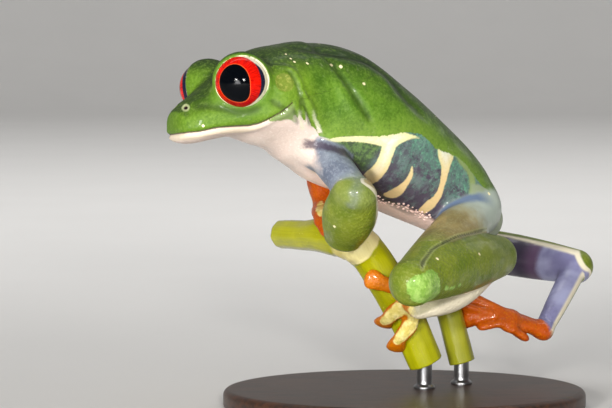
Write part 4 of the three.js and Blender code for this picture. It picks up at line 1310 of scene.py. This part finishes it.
    # Last, over everything: the lime patch, the pale dots, and painted shade in the hollows.
    lime = place.noise(1.2, 3).above(0.5, 0.12).mix(colour(126, 166, 66), colour(156, 192, 96))
    body = (mark["patch"] + ragged * 1.3).above(0.0, 0.16).mix(body, lime)
    body = mark["dots"].above(0.0, 0.06).mix(body, colour(252, 240, 190))
    # Painted shade: the hollows of folds, the armpit and the knee crease are darkened.
    body = (mark["shaded"].above(0.45, 0.5) * 0.5).mix(body, colour(24, 38, 16))

    # The surface: fine pores all over, grains on the belly, grooves at the mouth, nostrils and eardrums.
    belly_grains = (mark["belly"].above(-0.6, 0.5) * (1.0 - face * 0.6)) * place.cells(2.3).below(0.42, 0.4)
    pores = place.noise(6.0, 3, 0.6)
    wet = 0.06 + 0.5 * place.noise(0.5, 2).above(0.52, 0.12)
    relief = (pores * 0.25 + grain * 0.35 + belly_grains * 1.1
              - mark["mouth"].size().below(0.12, 0.12) * 2.0 - mark["nostril"].below(0.25, 0.12) * 3.0
              + mark["drum"].below(1.2, 0.1) * specks * 0.6)
    return {
        "Base Color": body,
        "Roughness": 0.30 + 0.22 * pores + 0.1 * clouds + snout * 0.14,
        "Coat Weight": wet * (1.0 - top * 0.7 - snout * 0.85).highest(0.0),
        "Normal": relief.relief(0.00005),
    }


# Under the back of the mouth's line the green is thin and greyish, and low on the side, toward the hip,
# the cream bars are tanned.
corner = np.clip((-1.8 - head[:, 0]) / 0.7, 0, 1) * np.clip((head[:, 0] + 5.7) / 0.6, 0, 1)
corner = corner * np.clip(-above_mouth / 0.15, 0, 1) * np.clip(green_face / 0.1 + 1, 0, 1) * on_head
tanned = np.clip((2.0 - girth) / 5.0 + (18.5 - along) / 8.0, 0, 1)
on_body = core < 2.0
skin_marks = dict(
    near_side=near_side, upward=np.where(on_body, normals[:, 2], 0), shaded=np.clip(shaded, 0, 1.2),
    along=along, girth=np.where(on_body, girth, 0), green=green, rump=rump, streak=streak,
    cream=cream, faint=faint, low=tanned, belly=belly, face=turned * (head[:, 0] > -12), corner=corner,
    lip=lip, mouth=mouth_line, lid=lid, lid_ring=lid_ring, drum=drum_gap, nostril=nostril_gap,
    outer=outer, reach=reach_along, blue=np.clip(blue, -4, 4), plum_and_shade=plum_and_shade, knee_fold=knee_gap,
    patch=patch, dots=dots, pale=pale, **{group: np.clip(claim[group], -4, 4) for group in GROUPS},
)
flesh_nodes = [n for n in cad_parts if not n.startswith(("stand_", "vine_", "eye_"))]
frog_skin = material("frog_skin", skin_paint, Coat_Roughness=0.12, IOR=1.4, Specular_IOR_Level=0.36)
skin = piece("skin", to_stand(settled), quads.tolist(), frog_skin, flesh_nodes, "skin_green")
give(skin.data, **skin_marks)

# ------------------------------------------------------------------------------------ belly beads
# The real skin has a row of pinkish-white beads on each side, where the grainy belly meets the flank.
# Geometry Nodes set a ball of uneven size at places found along that edge on the finished skin.

# Each row: how far below the belly's edge it runs, and its start, end and step along the spine.
BEAD_ROWS = [(0.3, 9.6, 22.0, 0.44), (-0.2, 10.0, 21.0, 0.66), (0.8, 10.0, 22.0, 0.8)]


def bead_places():
    """Places on the finished skin, a little sunk in it, along each row on both sides."""
    for way in (1, -1):
        side = np.flatnonzero((across * way > 0) & (core < 0.4) & (np.abs(belly) < 2.5))
        for row, (off, first, last, step) in enumerate(BEAD_ROWS):
            for number, at in enumerate(np.arange(first, last, step)):
                jitter = 0.16 * math.sin(5.1 * number + 2 * row + way)
                level = table(at, BELLY) - off + jitter
                nearest = side[np.argmin((along[side] - at - jitter) ** 2 + (girth[side] - level) ** 2)]
                yield settled[nearest] - 0.04 * normals[nearest]


bead_host = bpy.data.meshes.new("bead_places")
bead_host.from_pydata((to_stand(list(bead_places())) * MM).tolist(), [], [])


def pink_bead(place):
    tone = place.noise(1.5, 2)
    flesh = tone.mix(colour(236, 190, 178), colour(252, 226, 216))
    return {"Base Color": flesh, "Roughness": 0.3 + 0.1 * tone}


studded("belly_beads", bead_host, material("belly_bead", pink_bead, Coat_Weight=0.5), "trunk", "skin_green",
        scatter=False, sizes={"Ball Radius": 0.22 * MM, "Least Size": 0.55, "Height": 1.0, "Seed": 5})

# ------------------------------------------------------------------------------------ eyes
# Each real eye is a moist ball with a tall black pupil in a scarlet iris and a dark blue outer edge.
# It is a fine sphere whose pole is the gaze, with its colours laid out by angle from that pole.


def eye_paint(place):
    level, high = read(place, "level"), read(place, "high")
    spoke_x, spoke_y = read(place, "spoke_x"), read(place, "spoke_y")
    open_angle = read(place, "angle")
    low_corner = (spoke_x * 0.5 - spoke_y * 0.866).highest(0.0)
    oval = ((level / 0.585).size() ** 2.0 + (high / 0.662).size() ** 2.0) ** 0.5
    pupil = oval * (1.0 - 0.135 * low_corner ** 6.0)
    spokes = place.make("ShaderNodeCombineXYZ", {}, X=spoke_x * 6.0, Y=spoke_y * 6.0, Z=open_angle * 1.2)
    fibres = spokes.noise(2.6, 4, 0.7)
    iris = fibres.above(0.5, 0.25).mix(colour(176, 6, 2), colour(236, 26, 8))
    iris = (fibres.below(0.40, 0.06) * 0.25).mix(iris, colour(110, 2, 4))
    iris = ((-high).above(0.55, 0.3) * 0.6).mix(iris, colour(110, 10, 24))
    iris = (pupil - 1.028).size().below(0.014, 0.014).mix(iris, colour(226, 96, 44))
    wet = (open_angle + fibres * 0.03).above(read(place, "iris_edge"), 0.025).mix(iris, colour(28, 30, 52))
    wet = (open_angle + fibres * 0.03).above(read(place, "white_edge"), 0.03).mix(wet, colour(236, 226, 200))
    return {
        "Base Color": pupil.below(1.01, 0.02).mix(wet, colour(2, 4, 8)),
        "Roughness": 0.05 + 0.04 * fibres,
        "Normal": fibres.relief(0.000004),
    }


eye_wet = material("wet_eye", eye_paint, IOR=1.24)
for side, (centre, gaze, opens) in EYES.items():
    upward = unit(HEAD_TURN[:, 2] - (HEAD_TURN[:, 2] @ gaze) * gaze)
    rearward = unit(np.cross(upward, gaze)) * (1 if side == "left" else -1)
    lean = math.radians(10)
    upward, rearward = (upward * math.cos(lean) + rearward * math.sin(lean),
                        rearward * math.cos(lean) - upward * math.sin(lean))
    angles = np.linspace(0, np.pi, 72)[1:-1]
    turns = np.linspace(0, 2 * np.pi, 96, endpoint=False)
    spokes = rearward * np.cos(turns)[:, None] + upward * np.sin(turns)[:, None]
    rings = [centre + EYE_RADIUS * (gaze * math.cos(a) + spokes * math.sin(a)) for a in angles]
    ball_points, ball_faces = closed_body(rings)
    ball_points[-2], ball_points[-1] = centre + gaze * EYE_RADIUS, centre - gaze * EYE_RADIUS
    if side == "left":
        ball_faces = [face[::-1] for face in ball_faces]
    eyeball = piece(f"eyeball_{side}", to_stand(ball_points), ball_faces, eye_wet, [f"eye_{side}"], "eye")
    way = (ball_points - centre) / EYE_RADIUS
    level, high = way @ rearward, way @ upward
    flat = np.hypot(level, high) + 1e-9
    # The angles from the gaze where the iris ends and where the dark edge round it does. The edge is wide
    # behind the iris and, on the right eye, in front of it. Elsewhere the white follows at once.
    behind = np.clip((level / flat - 0.7) / 0.3, 0, 1)
    front = np.clip((-level / flat - 0.3) / 0.3, 0, 1) * (side == "right")
    iris_edge = 1.12 + 0.09 * (1 - behind) - 0.24 * front
    white_edge = iris_edge + 0.24 * np.maximum(behind, front)
    give(eyeball.data, level=level, high=high, angle=np.arccos(np.clip(way @ gaze, -1, 1)),
         spoke_x=level / flat, spoke_y=high / flat, iris_edge=iris_edge, white_edge=white_edge)

# ------------------------------------------------------------------------------------ studio
# A plain pale floor that curves up all round into a wall, soft lights, and the camera.


def paper(place):
    fleck = place.noise(0.02, 2)
    grey = fleck.mix(colour(226, 224, 221), colour(231, 229, 226))
    return {"Base Color": grey, "Roughness": 0.75 + 0.1 * fleck}


FLAT_FLOOR, CURVE, WALL_TOP = 1.3, 0.5, 1.2    # metres: half-width of the flat, the wall's bend, its top
profile = [(0.001, 0.0), (0.3, 0.0), (0.8, 0.0), (FLAT_FLOOR, 0.0)]
profile += [(FLAT_FLOOR + CURVE * math.sin(a), CURVE - CURVE * math.cos(a))
            for a in np.linspace(0.15, math.pi / 2, 12)]
profile += [(FLAT_FLOOR + CURVE, WALL_TOP)]
turns = np.linspace(0, 2 * np.pi, 96, endpoint=False)
bowl = [np.stack([half * np.cos(turns), half * np.sin(turns), np.full_like(turns, height)], 1)
        for half, height in profile]
bowl_points, bowl_faces = closed_body(bowl)
floor_mesh = bpy.data.meshes.new("floor")
floor_mesh.from_pydata(bowl_points[:-2].tolist(), [], [f[::-1] for f in bowl_faces if len(f) == 4])
floor_mesh.shade_smooth()
floor = bpy.data.objects.new("floor", floor_mesh)
bpy.context.scene.collection.objects.link(floor)
floor_mesh.materials.append(material("pale_paper", paper))
floor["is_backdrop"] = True

world = bpy.data.worlds.new("studio_air")
world.use_nodes = True
world.node_tree.nodes["Background"].inputs["Color"].default_value = (0.93, 0.96, 1.0, 1.0)
world.node_tree.nodes["Background"].inputs["Strength"].default_value = 0.16
bpy.context.scene.world = world
bpy.context.scene.view_settings.view_transform = "Standard"


def soft_light(name, place, size, power, tint=(1.0, 1.0, 1.0), target=(-0.004, 0.0, 0.03)):
    """A round lamp, so many metres across and watts strong, that faces its target."""
    lamp = bpy.data.lights.new(name, "AREA")
    lamp.shape, lamp.size, lamp.energy, lamp.color = "DISK", size, power, tint
    holder = bpy.data.objects.new(name, lamp)
    bpy.context.scene.collection.objects.link(holder)
    holder.location = place
    holder.rotation_euler = (Vector(target) - Vector(place)).to_track_quat("-Z", "Y").to_euler()


soft_light("key_a", (-0.184, -0.385, 0.112), 0.04, 0.95, (1.0, 0.98, 0.94))
soft_light("key_b", (0.038, -0.415, 0.112), 0.04, 0.95, (1.0, 0.98, 0.94))
soft_light("fill", (-0.13, -0.36, 0.012), 0.14, 0.9)
soft_light("overhead", (0.05, 0.05, 0.55), 0.45, 0.1, (0.95, 0.98, 1.0))
soft_light("rim", (0.35, 0.35, 0.30), 0.25, 0.08)
soft_light("backdrop", (0.0, 0.30, 0.75), 1.0, 7.0, target=(0.0, 1.5, 0.1))

# The camera stands to the frog's left, a little above the plate, and looks slightly down.
AIM, DISTANCE, DOWN = Vector((-0.0141, 0, 0.029)), 0.34, math.radians(4)
view = bpy.data.cameras.new("camera")
view.lens, view.sensor_width = 140, 36
camera = bpy.data.objects.new("camera", view)
bpy.context.scene.collection.objects.link(camera)
looks = Vector((0, math.cos(DOWN), -math.sin(DOWN)))
camera.location = AIM - DISTANCE * looks
camera.rotation_euler = looks.to_track_quat("-Z", "Y").to_euler()
bpy.context.scene.camera = camera

# ------------------------------------------------------------------------------------ sizes
low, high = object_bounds()
{"cad": [list(cad_low), list(cad_high)], "scene": [list(low), list(high)]}
